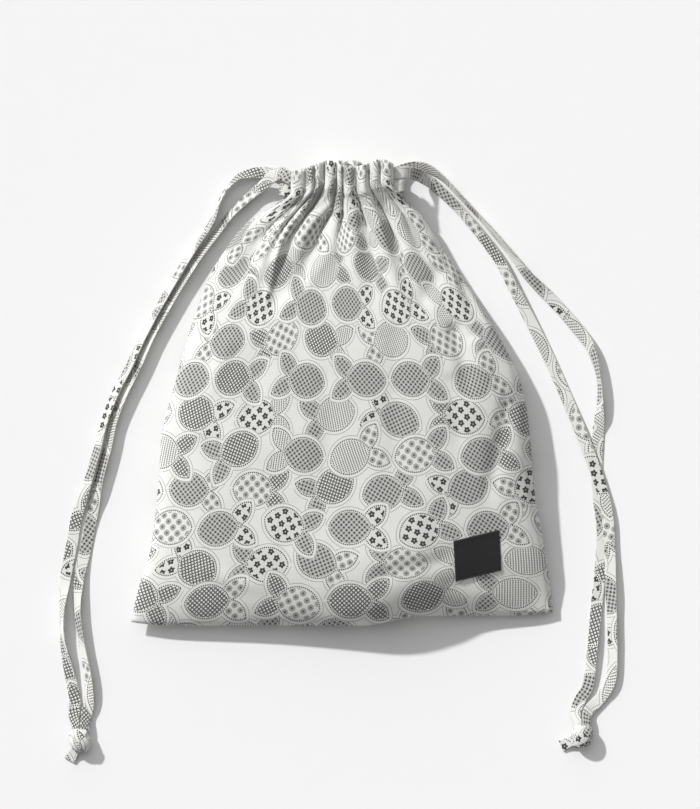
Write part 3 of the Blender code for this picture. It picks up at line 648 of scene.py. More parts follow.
def topDrop(x, back):
    share = x / (pouch["neckWidth"] / 2)
    if back:
        left, right = pouch["backDrop"]
        return (left if x < 0 else right) * min(share * share, 1.6)
    return readCurve(topDips, min(max(share, -1.0), 1.04))


def crest(place):  # 1 where the bottom of the pouch stands highest, 0 at its corners
    middle = pouch["crestPlace"]
    left, right = pouch["crestSpread"]
    spread = left if place < middle else right
    return math.exp(-(((place - middle) / spread) ** 2)) * superellipse(place, 4)


def foldHeight(place):
    return mix(*pouch["foldEnds"], (place + 1) / 2) + pouch["foldRise"] * crest(place)


def seamHeight(place, share):
    seam = readCurve(seamHeights, share) * pouch["thickness"]
    return seam + (foldHeight(place) - seam) * (1 - ease(0, 0.17, share))


def fullness(place, share):
    rise = min(share * pouch["length"] / pouch["rollDepth"], 1.0)
    across = filled["across"] + mix(*filled["rightFlank"], ease(0.08, 0.35, share)) * ease(0, 0.5, place)
    across += filled["shoulders"] * ease(0.6, 0.8, share)
    return superellipse(place, across) * superellipse(1 - rise, filled["bottom"])


def pleatEdges():
    total = sum(p[0] for p in pleats)
    edges = [-1.0]
    for width, _, _, _ in pleats:
        edges.append(edges[-1] + 2 * width / total)
    return edges


neckEdges = pleatEdges()


def pleatColumns():
    columns = []
    for number in range(len(pleats)):
        for step in range(pouch["columns"]):
            columns.append((number, step / pouch["columns"]))
    columns.append((len(pleats) - 1, 1.0))
    return columns


def columnPlace(column, share):
    number, phase = column
    wander = 1 - ease(pouch["neckShare"], pouch["slitShare"], share)
    low = neckEdges[number] + valleyDrift[number] * wander
    high = neckEdges[number + 1] + valleyDrift[number + 1] * wander
    return low + (high - low) * phase


def pleatWave(number, phase, sharp):
    edge = math.sin(math.pi * min(max(phase, 0.0), 1.0))
    soft = edge * edge
    crisp = edge ** 0.62
    ripple = 0.07 * math.sin(3 * math.pi * phase + number * 1.7)
    return soft + (crisp - soft) * sharp + ripple * edge


def pleatHeight(column, share, depth):
    number, phase = column
    _, deep, _, fade = pleats[number]
    after = pleats[min(number + 1, len(pleats) - 1)]
    before = pleats[max(number - 1, 0)]
    # neighbours share the depth of the valley between them
    deepHere = mix(mix(before[1], deep, 0.5), deep, ease(0, 0.4, phase))
    deepHere = mix(deepHere, mix(deep, after[1], 0.5), ease(0.6, 1, phase))
    fadeHere = mix(mix(before[3], fade, 0.5), fade, ease(0, 0.5, phase))
    fadeHere = mix(fadeHere, mix(fade, after[3], 0.5), ease(0.5, 1, phase))
    slit = pouch["slitShare"]
    swell = 1 + pouch["swell"] * ease(slit, slit - 0.045, share)
    strength = ease(fadeHere, slit - 0.02, share)
    sharp = ease(slit - 0.12, slit, share)
    return depth * deepHere * swell * strength * (pleatWave(number, phase, sharp) - 0.5)


def softNoise(x, y, size, seed):
    return noise.noise(Vector((x / size + seed, y / size - seed, seed * 0.7)))


def bodyPoint(column, shareOfRun, back):
    number, phase = column
    slit = pouch["slitShare"]
    share = shareOfRun * slit
    place = columnPlace(column, share)
    x = abs(place) * halfWidth(place, share) * (1 if place > 0 else -1)
    y = share * pouch["length"] - pouch["top"]
    skew = pouch["rightRise"] * ease(0.07, 0.4, place) + pouch["cornerRise"] * abs(place) ** 12
    y += skew * (1 - ease(0, 0.2, share))
    y -= topDrop(place * pouch["neckWidth"] / 2, back) * ease(slit - 0.2, slit, share)
    seam = seamHeight(place, share)
    intoNeck = ease(pouch["neckShare"], slit, share)
    full = fullness(place, share)
    if back:
        lying = seam - (seam + pouch["backSag"]) * full
        raised = seam + (pouch["backLevel"] - seam) * full
        z = lying + (raised - lying) * intoNeck
        z -= pleatHeight(column, share, pouch["backPleat"]) * full * intoNeck
        return Vector((x, y, max(z, pouch["cloth"] / 2)))
    crown = readCurve(crownHeights, share) * pouch["thickness"] - pouch["cloth"] / 2
    crown += pouch["crestRise"] * crest(place) * (1 - ease(0, pouch["crestReach"], share))
    crown += (pouch["frontLevel"] + pouch["seamLift"] - crown) * intoNeck
    z = seam + (crown - seam) * full + pleatHeight(column, share, pouch["frontPleat"]) * full
    lean = pleats[number][2] * math.sin(math.pi * phase) ** 2
    x += lean * pouch["pleatLean"] * ease(0.78, slit, share)
    inner = ease(0, 0.25, 1 - abs(place)) * ease(0, 0.05, share)
    for height, size, across, up, seed in softRolls:
        z += inner * height * softNoise(x * across, y * up, size, seed)
    edge = (1 - ease(0.0, 0.16, 1 - abs(place))) * ease(0, 0.08, share) * (1 - intoNeck)
    height, size, seed = seamPuckers
    z += edge * height * softNoise(place * 2, y, size, seed)
    return Vector((x, y, z))


def tunnelPoint(column, depth, lift, back):  # lift is 1 on the tunnel's outer wall and -1 on its inner one
    place = columnPlace(column, 1.0)
    number, phase = column
    x = place * mouthHalfWidth(place, depth, back)
    y = pouch["top"] - topDrop(place * pouch["neckWidth"] / 2, back) - depth
    pleat = pouch["backPleat"] if back else pouch["frontPleat"]
    deep = pleats[number][1]
    nearSeam = ease(0, 0.006, abs(depth - pouch["tunnel"]))
    crisp = pleatWave(number, phase, 0.0 if back else 0.75)
    middle = pleat * mix(1.0, deep, 0.6) * (crisp - 0.5) * mix(0.82, 1.0, nearSeam)
    opening = ease(pouch["tunnel"], pouch["tunnel"] - pouch["hemClosing"], depth)
    closed = pouch["seamLift"] + (pouch["cloth"] + pouch["seamGap"]) / 2 * lift
    reach = mix(closed, (pleat / 2 + pouch["wallGap"]) * lift, opening)
    if back:
        return Vector((x, y, max(pouch["backLevel"] - middle - reach, pouch["cloth"] / 2)))
    x += pleats[number][2] * pouch["pleatLean"] * math.sin(math.pi * phase) ** 2
    puff = pouch["hemPuff"] * math.sin(math.pi * min(depth / pouch["tunnel"], 1.0)) * max(lift, 0)
    return Vector((x, y, pouch["frontLevel"] + middle + reach + puff))


def bodyRows():
    rows = []
    for start, end, count in ((0.0, 0.06, 12), (0.06, 0.62, 56), (0.62, 1.0, 60)):
        rows += [mix(start, end, i / count) for i in range(count)]
    return rows + [1.0]


def tunnelRows():
    depth, closing, fold = pouch["tunnel"], pouch["hemClosing"], pouch["foldRound"]
    up = [(depth - closing * i / 4, 1.0) for i in range(5)]
    up += [(mix(depth - closing, fold, i / 9), 1.0) for i in range(1, 10)]
    for degrees in (20, 40, 60, 78):
        angle = math.radians(degrees)
        up.append((fold * (1 - math.sin(angle)), math.cos(angle)))
    top = [(0.0, 0.0)]
    down = [(d, -lift) for d, lift in reversed(up[1:])]
    return up + top + down + [(depth - 0.0012, -1.0)]


def creaseGap(x, y, points):  # distance to a crease and how far along it, 0 to 1
    best = None
    for i in range(len(points) - 1):
        ax, ay = points[i][0] / 1000, points[i][1] / 1000
        bx, by = points[i + 1][0] / 1000, points[i + 1][1] / 1000
        run = (bx - ax) ** 2 + (by - ay) ** 2
        t = min(max(((x - ax) * (bx - ax) + (y - ay) * (by - ay)) / run, 0.0), 1.0)
        gap = math.hypot(x - ax - (bx - ax) * t, y - ay - (by - ay) * t)
        if best is None or gap < best[0]:
            best = (gap, (i + t) / (len(points) - 1))
    return best


def inReach(point, points, reach):
    for axis in (0, 1):
        places = [p[axis] / 1000 for p in points]
        if min(places) - reach > point[axis] or max(places) + reach < point[axis]:
            return False
    return True


def pressCreases(point):
    for rise, width, points in creases:
        if not inReach(point, points, width * 0.0032):  # at 3.2 half widths a crease has died out
            continue
        gap, along = creaseGap(point.x, point.y, points)
        fade = ease(0, 0.18, along) * (1 - ease(0.6, 1, along))
        point.z += rise / 1000 * fade * math.exp(-((gap * 1000 / width) ** 2))


def flatPlace(column, share, slack):  # place across the flat cloth, in metres
    number, phase = column
    inPleat = phase + slack / (2 * math.pi) * math.sin(2 * math.pi * phase)
    return columnPlace((number, inPleat), share) * pouch["width"] / 2


def panelRows(columns, back, verts, uvs):
    # rows up the body, then up the tunnel's outer wall and down its inner one
    rows = []
    way = -1 if back else 1
    for shareOfRun in bodyRows():
        share = shareOfRun * pouch["slitShare"]
        slack = pouch["pleatSlack"] * ease(0.72, pouch["slitShare"], share)
        rows.append(range(len(verts), len(verts) + len(columns)))
        for column in columns:
            point = bodyPoint(column, shareOfRun, back)
            if not back:
                pressCreases(point)
            verts.append(point)
            uvs.append((flatPlace(column, share, slack), way * share * pouch["length"] * pouch["uvStretch"]))
    start = pouch["slitShare"] * pouch["length"] * pouch["uvStretch"] + pouch["slit"] - pouch["tunnel"]
    before = tunnelRows()[0]
    for depth, lift in tunnelRows():
        start += math.hypot(depth - before[0], (lift - before[1]) * pouch["wallGap"])
        before = (depth, lift)
        rows.append(range(len(verts), len(verts) + len(columns)))
        for column in columns:
            verts.append(tunnelPoint(column, depth, lift, back))
            uvs.append((flatPlace(column, 1.0, pouch["pleatSlack"]), way * start))
    return rows


def sewnPoints(front, rear):
    # the panels are one cloth along the bottom fold, and sewn together up to the slits
    joined = dict(zip(rear[0], front[0]))
    for low, high in list(zip(rear, front))[1:len(bodyRows())]:
        joined[low[0]] = high[0]
        joined[low[-1]] = high[-1]
    return joined


def buildCloth():
    columns = pleatColumns()
    verts, uvs, faces = [], [], []
    front = panelRows(columns, False, verts, uvs)
    rear = panelRows(columns, True, verts, uvs)
    joined = sewnPoints(front, rear)
    for gone, kept in joined.items():
        verts[kept] = verts[gone] = (verts[gone] + verts[kept]) / 2
    for rows, back in ((front, False), (rear, True)):
        for low, high in zip(rows, rows[1:]):
            for i in range(len(columns) - 1):
                corners = [low[i], low[i + 1], high[i + 1], high[i]]
                if back:
                    corners.reverse()
                faces.append(corners)
    cornerUvs = [uvs[corner] for face in faces for corner in face]
    cloth = meshObject("pouchCloth", verts, faces, clothFinish, cornerUvs)
    bm = bmesh.new()
    bm.from_mesh(cloth.data)
    bm.verts.ensure_lookup_table()
    bmesh.ops.weld_verts(bm, targetmap={bm.verts[gone]: bm.verts[kept] for gone, kept in joined.items()})
    bm.to_mesh(cloth.data)
    bm.free()
    shell = cloth.modifiers.new("thickness", "SOLIDIFY")
    shell.thickness = pouch["cloth"]
    shell.offset = 0.0
    applyAll(cloth)
    cloth.data.shade_smooth()
    return cloth


cloth = buildCloth()
print("cloth gathered:", len(cloth.data.polygons), "faces")


# Woven label

label = {
    "width": 0.031,
    "height": 0.027,
    "thickness": 0.0005,
    "clearance": 0.0003,
    "middle": (0.0887, -0.1068),
    "acrossTurn": 13.5,
    "upTurn": 3.5,  # the slack cloth lets its sides hang nearly straight down
    "foldedEdge": 0.0035,  # the cut ends are folded under along the top and the bottom
    "foldedThickness": 0.00016,
    "thinEdge": 0.0015,  # the edges thin out towards their stitches
    "lip": 0.0007,
    "ripple": 0.00012,
    "grid": (48, 42),
}


def surfaceAbove(tree, x, y):
    return tree.ray_cast(Vector((x, y, 0.2)), Vector((0, 0, -1)))[0]


def surfaceTree(obj):
    return BVHTree.FromPolygons(
        [v.co.copy() for v in obj.data.vertices], [tuple(p.vertices) for p in obj.data.polygons]
    )


def labelSpot(a, b):
    across, up = math.radians(label["acrossTurn"]), math.radians(label["upTurn"])
    return (
        label["middle"][0] + a * math.cos(across) - b * math.sin(up),
        label["middle"][1] + a * math.sin(across) + b * math.cos(up),
    )


def labelPoint(tree, a, b, side):  # side is 0 under the label and 1 on top of it
    fromEnd = label["height"] / 2 - abs(b)
    edge = min(label["width"] / 2 - abs(a), fromEnd)
    thick = label["thickness"] * mix(0.75, 1.0, ease(0, label["thinEdge"], edge))
    if fromEnd < label["foldedEdge"]:
        thick += label["foldedThickness"]
    lift = label["clearance"] + side * thick * mix(0.55, 1.0, ease(0, label["lip"], edge))
    wave = label["ripple"] * softNoise(a, b, 0.006, 4.0) * side
    return surfaceAbove(tree, *labelSpot(a, b)) + Vector((0, 0, lift + wave))


def buildLabel(tree):
    across, up = label["grid"]
    verts, uvs, faces = [], [], []
    for side in (0, 1):
        for j in range(up + 1):
            for i in range(across + 1):
                a = label["width"] * (i / across - 0.5)
                b = label["height"] * (j / up - 0.5)
                verts.append(labelPoint(tree, a, b, side))
                uvs.append((a, b))
    size = (across + 1) * (up + 1)
    for j in range(up):
        for i in range(across):
            low = j * (across + 1) + i
            corners = (low, low + 1, low + across + 2, low + across + 1)
            faces.append([c + size for c in corners])
            faces.append(list(reversed(corners)))
    loop = list(range(across + 1))
    loop += [j * (across + 1) + across for j in range(1, up + 1)]
    loop += [up * (across + 1) + i for i in range(across - 1, -1, -1)]
    loop += [j * (across + 1) for j in range(up - 1, 0, -1)]
    for a, b in zip(loop, loop[1:] + loop[:1]):
        faces.append((a, b, b + size, a + size))
    cornerUvs = [uvs[corner] for face in faces for corner in face]
    return meshObject("wovenLabel", verts, faces, labelFinish, cornerUvs)


labelPiece = buildLabel(surfaceTree(cloth))
print("label laid on")


# Stitches: each is a short thread that lies on the cloth and dips in at its ends

thread = {
    "stitch": 0.0021,
    "gap": 0.0008,
    "radius": 0.00022,
    "dip": 0.0003,
    "profile": ((0.0, 0.45), (0.2, 0.95), (0.5, 1.0), (0.8, 0.95), (1.0, 0.45)),  # place along it, fullness
    "sides": 6,
    "hemInset": 0.0009,  # from the end of the tunnel
    "labelInset": 0.0011,
    "labelSteps": 24,  # along each side of the label
}


def pointAlong(line, runs, distance):
    for i in range(len(line) - 2):
        if runs[i + 1] >= distance:
            break
    return line[i].lerp(line[i + 1], min((distance - runs[i]) / (runs[i + 1] - runs[i]), 1.0))


def sewStitch(places, off, verts, faces):
    sides, last = thread["sides"], len(places) - 1
    beside = (places[-1] - places[0]).normalized().cross(off).normalized()
    first = len(verts)
    for place, (_, full) in zip(places, thread["profile"]):
        middle = place + off * (thread["radius"] - thread["dip"] * (1 - full))
        for k in range(sides):
            turn = 2 * math.pi * k / sides
            spoke = beside * math.cos(turn) + off * math.sin(turn)
            verts.append(middle + spoke * thread["radius"] * full)
    for ring in range(last):
        for k in range(sides):
            a, b = first + ring * sides + k, first + ring * sides + (k + 1) % sides
            faces.append((a, b, b + sides, a + sides))
    faces.append(tuple(first + k for k in range(sides - 1, -1, -1)))
    faces.append(tuple(first + last * sides + k for k in range(sides)))


def sewLine(line, outward, verts, faces):  # outward gives the way off the cloth for the line's direction
    runs = [0.0]
    for a, b in zip(line, line[1:]):
        runs.append(runs[-1] + (b - a).length)
    step = thread["stitch"] + thread["gap"]
    for number in range(int(runs[-1] / step)):
        start = number * step + thread["gap"] / 2
        places = [pointAlong(line, runs, start + thread["stitch"] * t) for t, _ in thread["profile"]]
        sewStitch(places, outward((places[-1] - places[0]).normalized()), verts, faces)


def sewHems():
    verts, faces = [], []
    depth = pouch["tunnel"] - thread["hemInset"]
    for back in (False, True):
        way = -1 if back else 1
        line = []
        for column in pleatColumns():
            place = tunnelPoint(column, depth, 1.0, back)
            place.z += way * pouch["cloth"] / 2
            line.append(place)
        sewLine(line, lambda along: along.cross(Vector((0, way, 0))).normalized(), verts, faces)
    stitches = meshObject("hemStitches", verts, faces, whiteThread)
    faceOutward(stitches)
    return stitches


def sewLabel():
    verts, faces = [], []
    tree = surfaceTree(labelPiece)
    wide = label["width"] / 2 - thread["labelInset"]
    high = label["height"] / 2 - thread["labelInset"]
    steps = thread["labelSteps"]
    corners = [(-wide, -high), (wide, -high), (wide, high), (-wide, high), (-wide, -high)]
    for a, b in zip(corners, corners[1:]):
        places = [Vector(a).lerp(Vector(b), i / steps) for i in range(steps + 1)]
        line = [surfaceAbove(tree, *labelSpot(*place)) for place in places]
        sewLine(line, lambda along: Vector((0, 0, 1)), verts, faces)
    stitches = meshObject("labelStitches", verts, faces, blackThread)
    faceOutward(stitches)
    return stitches


hemStitches = sewHems()
labelStitches = sewLabel()
print("stitches sewn:", len(hemStitches.data.polygons) + len(labelStitches.data.polygons), "faces")


# Drawstrings: flat tapes of the same cloth, folded twice along their length

tape = {
    "width": 0.008,
    "thickness": 0.001,
    "ringSpacing": 0.0022,
    "turnClearance": 0.003,
    "turnReach": 0.0045,
    "offset": 0.00075,  # of the two tapes from the middle of the tunnels, one over the other
    "waver": 0.035,  # share of the width that hand-folded edges wander by
    "flatten": 0.12,  # share of the thickness that comes and goes
    "pinch": 0.36,  # share of the width that it loses where it runs into its knot
    "pinchRun": (0.003, 0.016),
    "underShift": 0.02,  # the underside and the other pieces show other parts of the print
    "pieceShift": 0.031,
}
# outline of the folded tape: (across, up) as shares of its half width and half thickness;
# the right edge shows the two turned-in edges with the gap between them
tapeOutline = (
    (-1.0, 0.0), (-0.95, 0.75), (-0.82, 1.0), (-0.35, 0.86), (0.35, 0.86), (0.84, 1.0), (0.97, 0.85),
    (1.0, 0.45), (0.9, 0.0), (1.0, -0.45), (0.97, -0.85), (0.84, -1.0), (0.35, -0.86), (-0.35, -0.86),
    (-0.82, -1.0), (-0.95, -0.75),
)
# painted shade on the tape's two side edges, stronger on the right one
tapeEdgeShade = [0.75 if a > 0.95 else 0.35 if a < -0.94 else 0.0 for a, _ in tapeOutline]
knot = {
    "length": 0.0175,
    "width": 0.0165,
    "height": 0.0125,
    "left": (-0.1728, -0.2290),
    "right": (0.1582, -0.2264),
    "core": 0.8,  # the ball under the wraps, as a share of the knot's outside
    "lumps": 0.03,
    "seat": 0.9,  # how far under its middle it lies on the floor, as a share of its half height
    "windWidth": 0.008,
    "endLength": 0.007,
    "endThickness": 0.0016,
    # where a strand runs in: beside the middle, beyond the knot's upper end, height and roll
    "entry": ((0.0040, 0.0075, 0.0018, -12), (0.0027, 0.0015, 0.0042, -20), (0.0020, -0.0045, 0.0050, -20)),
}

# Strands: (x, y, height of the tape's lower edge, roll in degrees), from the neck to the knot
leftFrontStrand = (
    (-0.039, 0.1445, 0.021, 8), (-0.0455, 0.1425, 0.012, 10), (-0.0515, 0.1375, 0.004, 20),
    (-0.0595, 0.131, 0.0, 38), (-0.072, 0.1195, 0.0, 48), (-0.0815, 0.107, 0.0, 52),
    (-0.096, 0.0875, 0.0, 52), (-0.1125, 0.061, 0.0, 52), (-0.1255, 0.0375, 0.0, 52),
    (-0.1345, 0.0175, 0.0, 50), (-0.1435, -0.0005, 0.0, 50), (-0.1505, -0.018, 0.0, 45),
    (-0.1545, -0.036, 0.0, 45), (-0.1605, -0.0585, 0.0, 40), (-0.1645, -0.0785, 0.0, 10),
    (-0.1685, -0.0995, 0.0, 0), (-0.1735, -0.122, 0.0, 20), (-0.1747, -0.1425, 0.0, 50),
    (-0.172, -0.164, 0.0, 56), (-0.1675, -0.187, 0.0, 50), (-0.1668, -0.203, 0.0, 30),
)
leftBackStrand = (
    (-0.0395, 0.1435, 0.0035, 0), (-0.051, 0.1455, 0.0005, 5),
    (-0.0655, 0.1435, 0.0, 50), (-0.0735, 0.1375, 0.0, 72), (-0.0805, 0.127, 0.0, 74),
    (-0.086, 0.1125, 0.0, 64), (-0.1015, 0.0895, 0.0, 55), (-0.1175, 0.0625, 0.0, 55),
    (-0.1305, 0.0385, 0.0, 55), (-0.1405, 0.0175, 0.0, 52), (-0.149, 0.001, 0.0, 50),
    (-0.157, -0.0195, 0.0, 50), (-0.1615, -0.0375, 0.0, 48), (-0.168, -0.0595, 0.0, 40),
    (-0.1748, -0.0805, 0.0, 10), (-0.1782, -0.0995, 0.0, 5), (-0.1825, -0.122, 0.0, 15),
    (-0.1845, -0.1435, 0.0, 65), (-0.1842, -0.163, 0.0, 65), (-0.180, -0.184, 0.0, 25),
    (-0.1765, -0.201, 0.0, 5),
)
rightFrontStrand = (
    (0.041, 0.1450, 0.0215, 0), (0.048, 0.1440, 0.013, 0), (0.0545, 0.1412, 0.0045, 5),
    (0.0615, 0.1365, 0.0, 24), (0.075, 0.1235, 0.0, 40), (0.088, 0.1085, 0.0, 38),
    (0.103, 0.0885, 0.0, 34), (0.114, 0.0675, 0.0, 26), (0.126, 0.0445, 0.0, 8),
    (0.1385, 0.019, 0.0, 0), (0.1505, -0.0085, 0.0003, 0), (0.158, -0.0265, 0.0015, 0),
    (0.1645, -0.0435, 0.0016, 0), (0.171, -0.0625, 0.0016, 0), (0.175, -0.0805, 0.0016, 10),
    (0.1765, -0.1025, 0.0016, 10), (0.1772, -0.1275, 0.0024, 18), (0.178, -0.1445, 0.0004, 30),
    (0.1785, -0.167, 0.0, 32), (0.1775, -0.1885, 0.0, 26), (0.1715, -0.200, 0.0, 12),
)
rightBackStrand = (
    (0.0400, 0.1470, 0.0045, 5), (0.0485, 0.1492, 0.0015, 25), (0.0575, 0.1475, 0.0, 45),
    (0.0665, 0.1415, 0.0, 68), (0.077, 0.1305, 0.0, 72), (0.092, 0.1145, 0.0, 72),
    (0.1075, 0.0965, 0.0, 66), (0.123, 0.077, 0.0, 40), (0.139, 0.061, 0.0, 5),
    (0.154, 0.044, 0.0, 10), (0.1645, 0.029, 0.0, 40), (0.1695, 0.0095, 0.0, 70),
    (0.1702, -0.0085, 0.0, 50), (0.169, -0.0275, 0.0, 0), (0.168, -0.0495, 0.0, 0),
    (0.1692, -0.069, 0.0, 0), (0.1718, -0.09, 0.0, 0), (0.1705, -0.115, 0.0, 0),
    (0.168, -0.140, 0.0, 5), (0.1655, -0.166, 0.0, 25), (0.1625, -0.192, 0.0, 15),
    (0.1575, -0.2015, 0.0, 5),
)


def tapeReach(roll):  # height of the tape's middle over its lower edge
    angle = math.radians(abs(roll))
    return tape["width"] / 2 * math.sin(angle) + tape["thickness"] / 2 * math.cos(angle)


def knotEntry(place, lean):  # the two strands draw together and run into the knot
    top = place[1] + knot["length"] / 2
    return [
        (place[0] + lean * beside, top + beyond, height, lean * roll)
        for beside, beyond, height, roll in knot["entry"]
    ]


def restOnFloor(strand):
    return [(Vector((x, y, lift + tapeReach(roll))), roll) for x, y, lift, roll in strand]


def lanePoint(x, side, level, back):
    share = ease(-pouch["neckWidth"] / 2, pouch["neckWidth"] / 2, -x * side)
    depth = mix(pouch["upperLane"], pouch["lowerLane"], share)
    return Vector((x, pouch["top"] - topDrop(x, back) - depth, level))


def tunnelRoute(side):
    mouth = pouch["neckWidth"] / 2
    front, rear = pouch["frontLevel"] - side * tape["offset"], pouch["backLevel"] + side * tape["offset"]
    places = [mouth * share for share in (1.0, 0.7, 0.35, 0.0, -0.35, -0.7, -1.0)]
    there = [lanePoint(side * x, side, front, False) for x in places]
    turnX = -side * (mouth + tape["turnClearance"])
    turnY = lanePoint(-side * mouth, side, 0, True).y
    radius, middle = (front - rear) / 2, (front + rear) / 2
    turn = []
    for degrees in (60, 30, 0, -30, -60):
        angle = math.radians(degrees)
        turn.append(Vector((
            turnX - side * tape["turnReach"] * math.cos(angle), turnY, middle + radius * math.sin(angle)
        )))
    back = [lanePoint(side * x, side, rear, True) for x in reversed(places)]
    return [(p, 0.0) for p in there + turn + back]


def smoothRoute(points, spacing):
    rings = []
    for i in range(len(points) - 1):
        p0, p1 = points[max(i - 1, 0)], points[i]
        p2, p3 = points[i + 1], points[min(i + 2, len(points) - 1)]
        steps = max(1, round((p2[0] - p1[0]).length / spacing))
        for step in range(steps):
            t = step / steps
            rings.append((catmull(p0[0], p1[0], p2[0], p3[0], t), catmull(p0[1], p1[1], p2[1], p3[1], t)))
    rings.append(points[-1])
    return rings


def flatAcross(k, under, seed):  # place across the flat cloth of a point of the tape's outline
    return tapeOutline[k][0] * tape["width"] / 2 + under + seed * tape["pieceShift"]


def sweepTape(name, rings, seed, thickness):
    # rings are (centre, direction across the tape, direction through it, how far it is pinched)
    count = len(tapeOutline)
    verts, uvs, faces = [], [], []
    runs = [0.0]
    for before, ring in zip(rings, rings[1:]):
        runs.append(runs[-1] + (ring[0] - before[0]).length)
    for run, (centre, wide, thick, pinch) in zip(runs, rings):
        waver = 1 - tape["waver"] * (0.5 + 0.5 * noise.noise(Vector((run * 60, seed, 0))))
        width = tape["width"] * (1 - tape["pinch"] * pinch) / 2 * waver
        depth = thickness * (1 + pinch) / 2
        for a, b in tapeOutline:
            plump = 1 - tape["flatten"] * (0.5 + 0.5 * noise.noise(Vector((run * 90, seed + 5, a))))
            verts.append(centre + wide * (a * width) + thick * (b * depth * plump))
    for i in range(len(rings) - 1):
        for k in range(count):
            after = (k + 1) % count
            a, b = i * count + k, i * count + after
            faces.append((a, b, b + count, a + count))
            under = 0.0 if k < count // 2 else tape["underShift"]
            here, beside = flatAcross(k, under, seed), flatAcross(after, under, seed)
            uvs += [(runs[i], here), (runs[i], beside), (runs[i + 1], beside), (runs[i + 1], here)]
    last = len(verts) - count
    faces += [tuple(range(count - 1, -1, -1)), tuple(range(last, last + count))]
    uvs += [(0.0, seed * tape["pieceShift"])] * count + [(runs[-1], seed * tape["pieceShift"])] * count
    obj = meshObject(name, verts, faces, tapeFinish, uvs)
    # how much painted shade each point gets, for the material's "edge" attribute
    edge = obj.data.attributes.new("edge", "FLOAT", "POINT")
    for i in range(len(verts)):
        edge.data[i].value = tapeEdgeShade[i % count]
    faceOutward(obj)
    return obj


def buildDrawstring(name, side, frontStrand, backStrand, knotPlace, seed):
    points = restOnFloor((*frontStrand, *knotEntry(knotPlace, 1)))[::-1]
    points += tunnelRoute(side)
    points += restOnFloor((*backStrand, *knotEntry(knotPlace, -1)))
    route = smoothRoute(points, tape["ringSpacing"])
    centres = [centre for centre, _ in route]
    rings = []
    across = Vector((1, 0, 0))
    for i, (centre, roll) in enumerate(route):
        ahead = (centres[min(i + 1, len(route) - 1)] - centres[max(i - 1, 0)]).normalized()
        level = Vector((-ahead.y, ahead.x, 0))
        if level.length < 0.05:
            level = across - ahead * across.dot(ahead)
        level.normalize()
        if level.dot(across) < 0:
            level.negate()
        across = level
        upright = ahead.cross(level).normalized()
        if upright.z < 0:
            upright.negate()
        angle = math.radians(roll)
        wide = level * math.cos(angle) + upright * math.sin(angle)
        thick = ahead.cross(wide).normalized()
        middle = Vector((centre.x, centre.y, max(centre.z, tapeReach(roll))))
        toKnot = min((centre - centres[0]).length, (centre - centres[-1]).length)
        rings.append((middle, wide, thick, 1 - ease(*tape["pinchRun"], toKnot)))
    return sweepTape(name, rings, seed, tape["thickness"]), [ring[0] for ring in rings]


leftTape, leftPath = buildDrawstring(
    "leftDrawstring", -1, leftFrontStrand, leftBackStrand, knot["left"], 1.0
)
rightTape, rightPath = buildDrawstring(
    "rightDrawstring", 1, rightFrontStrand, rightBackStrand, knot["right"], 2.0
)
print("drawstrings laid:", len(leftPath), "and", len(rightPath), "rings")


# Knots: a ball of folded tape with raised wraps, and the tape's cut end

# Wraps from the lowest to the top one: direction square to the wrap, half width in radians, lift
leftWraps = (
    ((0.2, 0.96, 0.2), 0.55, 0.06), ((0.94, -0.28, 0.15), 0.5, 0.12), ((0.72, 0.66, -0.2), 0.42, 0.19),
)
rightWraps = (
    ((-0.15, 0.97, 0.2), 0.5, 0.06), ((0.9, 0.35, -0.2), 0.52, 0.12), ((-0.68, 0.7, 0.1), 0.44, 0.19),
)


def wrapAt(out, wraps, seed):
    # the topmost wrap at a spot of the ball: its height, its place on the tape, and the painted shade at its
    # edge as a share
    size = knot["core"] + knot["lumps"] * noise.noise(out * 1.7 + Vector((seed, 0, 0)))
    flat = (out.x * 0.009 + 0.004 * seed, out.y * 0.009)
    edge = 0.0
    for number, (square, half, lift) in enumerate(wraps):
        square = Vector(square).normalized()
        side = math.asin(min(max(out.dot(square), -1.0), 1.0))
        side += 0.05 * noise.noise(out * 1.4 + Vector((0, seed, number)))
        if abs(side) > half:
            continue
        share = side / half
        height = knot["core"] + lift * ease(1.0, 0.9, abs(share))
        # two shallow folds run along each wrap
        height -= 0.02 * share * share + 0.018 * math.exp(-(((share - 0.3) / 0.07) ** 2))
        height -= 0.012 * math.exp(-(((share + 0.45) / 0.06) ** 2))
        if height < size:
            continue
        size = height
        first = square.cross(Vector((0.3, 0.2, 1.0))).normalized()
        along = math.atan2(out.dot(first), out.dot(square.cross(first)))
        flat = (along * knot["windWidth"], side * knot["windWidth"] + 0.021 * number + 0.011 * seed)
        # painted shade along the edges of the wrap
        edge = 0.7 * ease(0.86, 0.97, abs(share))
    return size, flat, edge


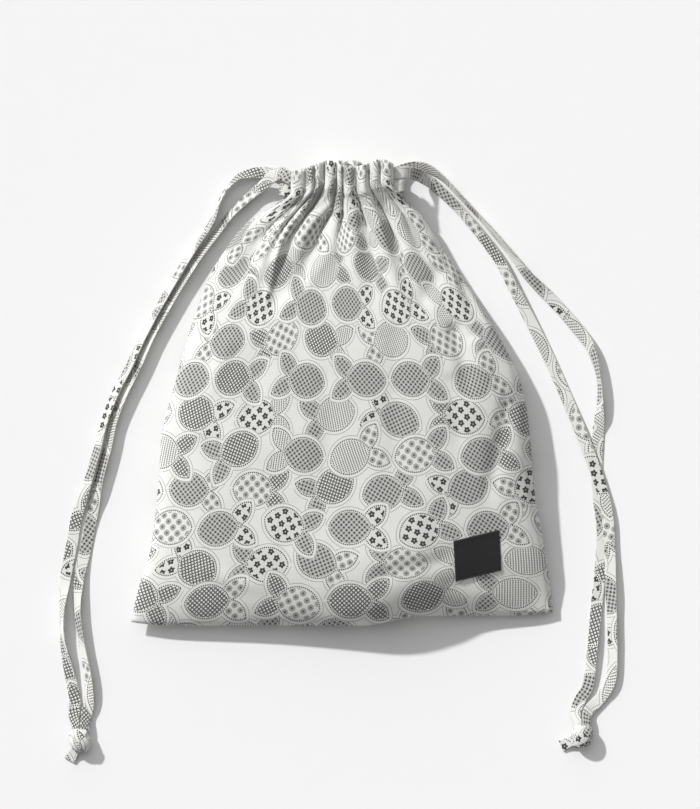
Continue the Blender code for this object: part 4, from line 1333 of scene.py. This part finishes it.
def buildKnotBall(name, place, wraps, seed):
    bpy.ops.object.select_all(action="DESELECT")
    bpy.ops.mesh.primitive_ico_sphere_add(subdivisions=6, radius=1.0, location=(0, 0, 0))
    ball = bpy.context.object
    ball.name = name
    mesh = ball.data
    wrapEdgeShade = mesh.attributes.new("edge", "FLOAT", "POINT")
    flats = []
    for vert in mesh.vertices:
        out = vert.co.copy()
        size, flat, edge = wrapAt(out, wraps, seed)
        flats.append(flat)
        wrapEdgeShade.data[vert.index].value = edge
        vert.co = Vector((
            place[0] + out.x * size * knot["width"] / 2,
            place[1] + out.y * size * knot["length"] / 2,
            max((out.z * size + knot["seat"]) * knot["height"] / (1 + knot["seat"]), 0.0003 + 0.0002 * out.z),
        ))
    layer = mesh.uv_layers[0]
    layer.name = "cloth"
    for loop in mesh.loops:
        layer.data[loop.index].uv = flats[loop.vertex_index]
    mesh.materials.clear()
    mesh.materials.append(tapeFinish)
    mesh.shade_smooth()
    return ball


def buildTapeEnd(name, place, turn, seed):
    direction = Vector((math.cos(turn), math.sin(turn), 0))
    beside = Vector((-math.sin(turn), math.cos(turn), 0))
    rings = []
    for i in range(13):
        t = i / 12
        reach = knot["width"] * 0.3 + (knot["width"] * 0.2 + knot["endLength"]) * t
        height = mix(0.0038, 0.0010, ease(0, 0.75, t))
        tilt = 0.35 * math.sin(2.2 * t + seed)
        wide = beside * math.cos(tilt) + Vector((0, 0, 1)) * math.sin(tilt) * (1 - t)
        wide.normalize()
        thick = direction.cross(wide).normalized()
        centre = Vector((*place, 0)) + direction * reach + Vector((0, 0, height))
        rings.append((centre, wide, thick, 0.6 * (1 - t)))
    return sweepTape(name, rings, seed, knot["endThickness"])


def buildKnot(name, place, wraps, endTurn, seed):
    ball = buildKnotBall(name, place, wraps, seed)
    return [ball, buildTapeEnd(name + "End", place, endTurn, seed + 4)]


leftKnot = buildKnot("leftKnot", knot["left"], leftWraps, math.radians(-118), 3.0)
rightKnot = buildKnot("rightKnot", knot["right"], rightWraps, math.radians(-155), 8.0)
print("knots tied")


# Each piece hangs from the root body, and the frame's parts that the pieces replace are hidden

for piece, slotName in (
    (cloth, "printed_cotton"), (hemStitches, "printed_cotton"), (labelPiece, "woven_label"),
    (labelStitches, "woven_label"), (leftTape, "cotton_tape"), (rightTape, "cotton_tape"),
):
    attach(piece, "root")
for parts, node in ((leftKnot, "knot_left"), (rightKnot, "knot_right")):
    for part in parts:
        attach(part, "root")
    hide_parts(node)
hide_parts("pouch_body")
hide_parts("label")
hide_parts("drawstring_left")
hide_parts("drawstring_right")
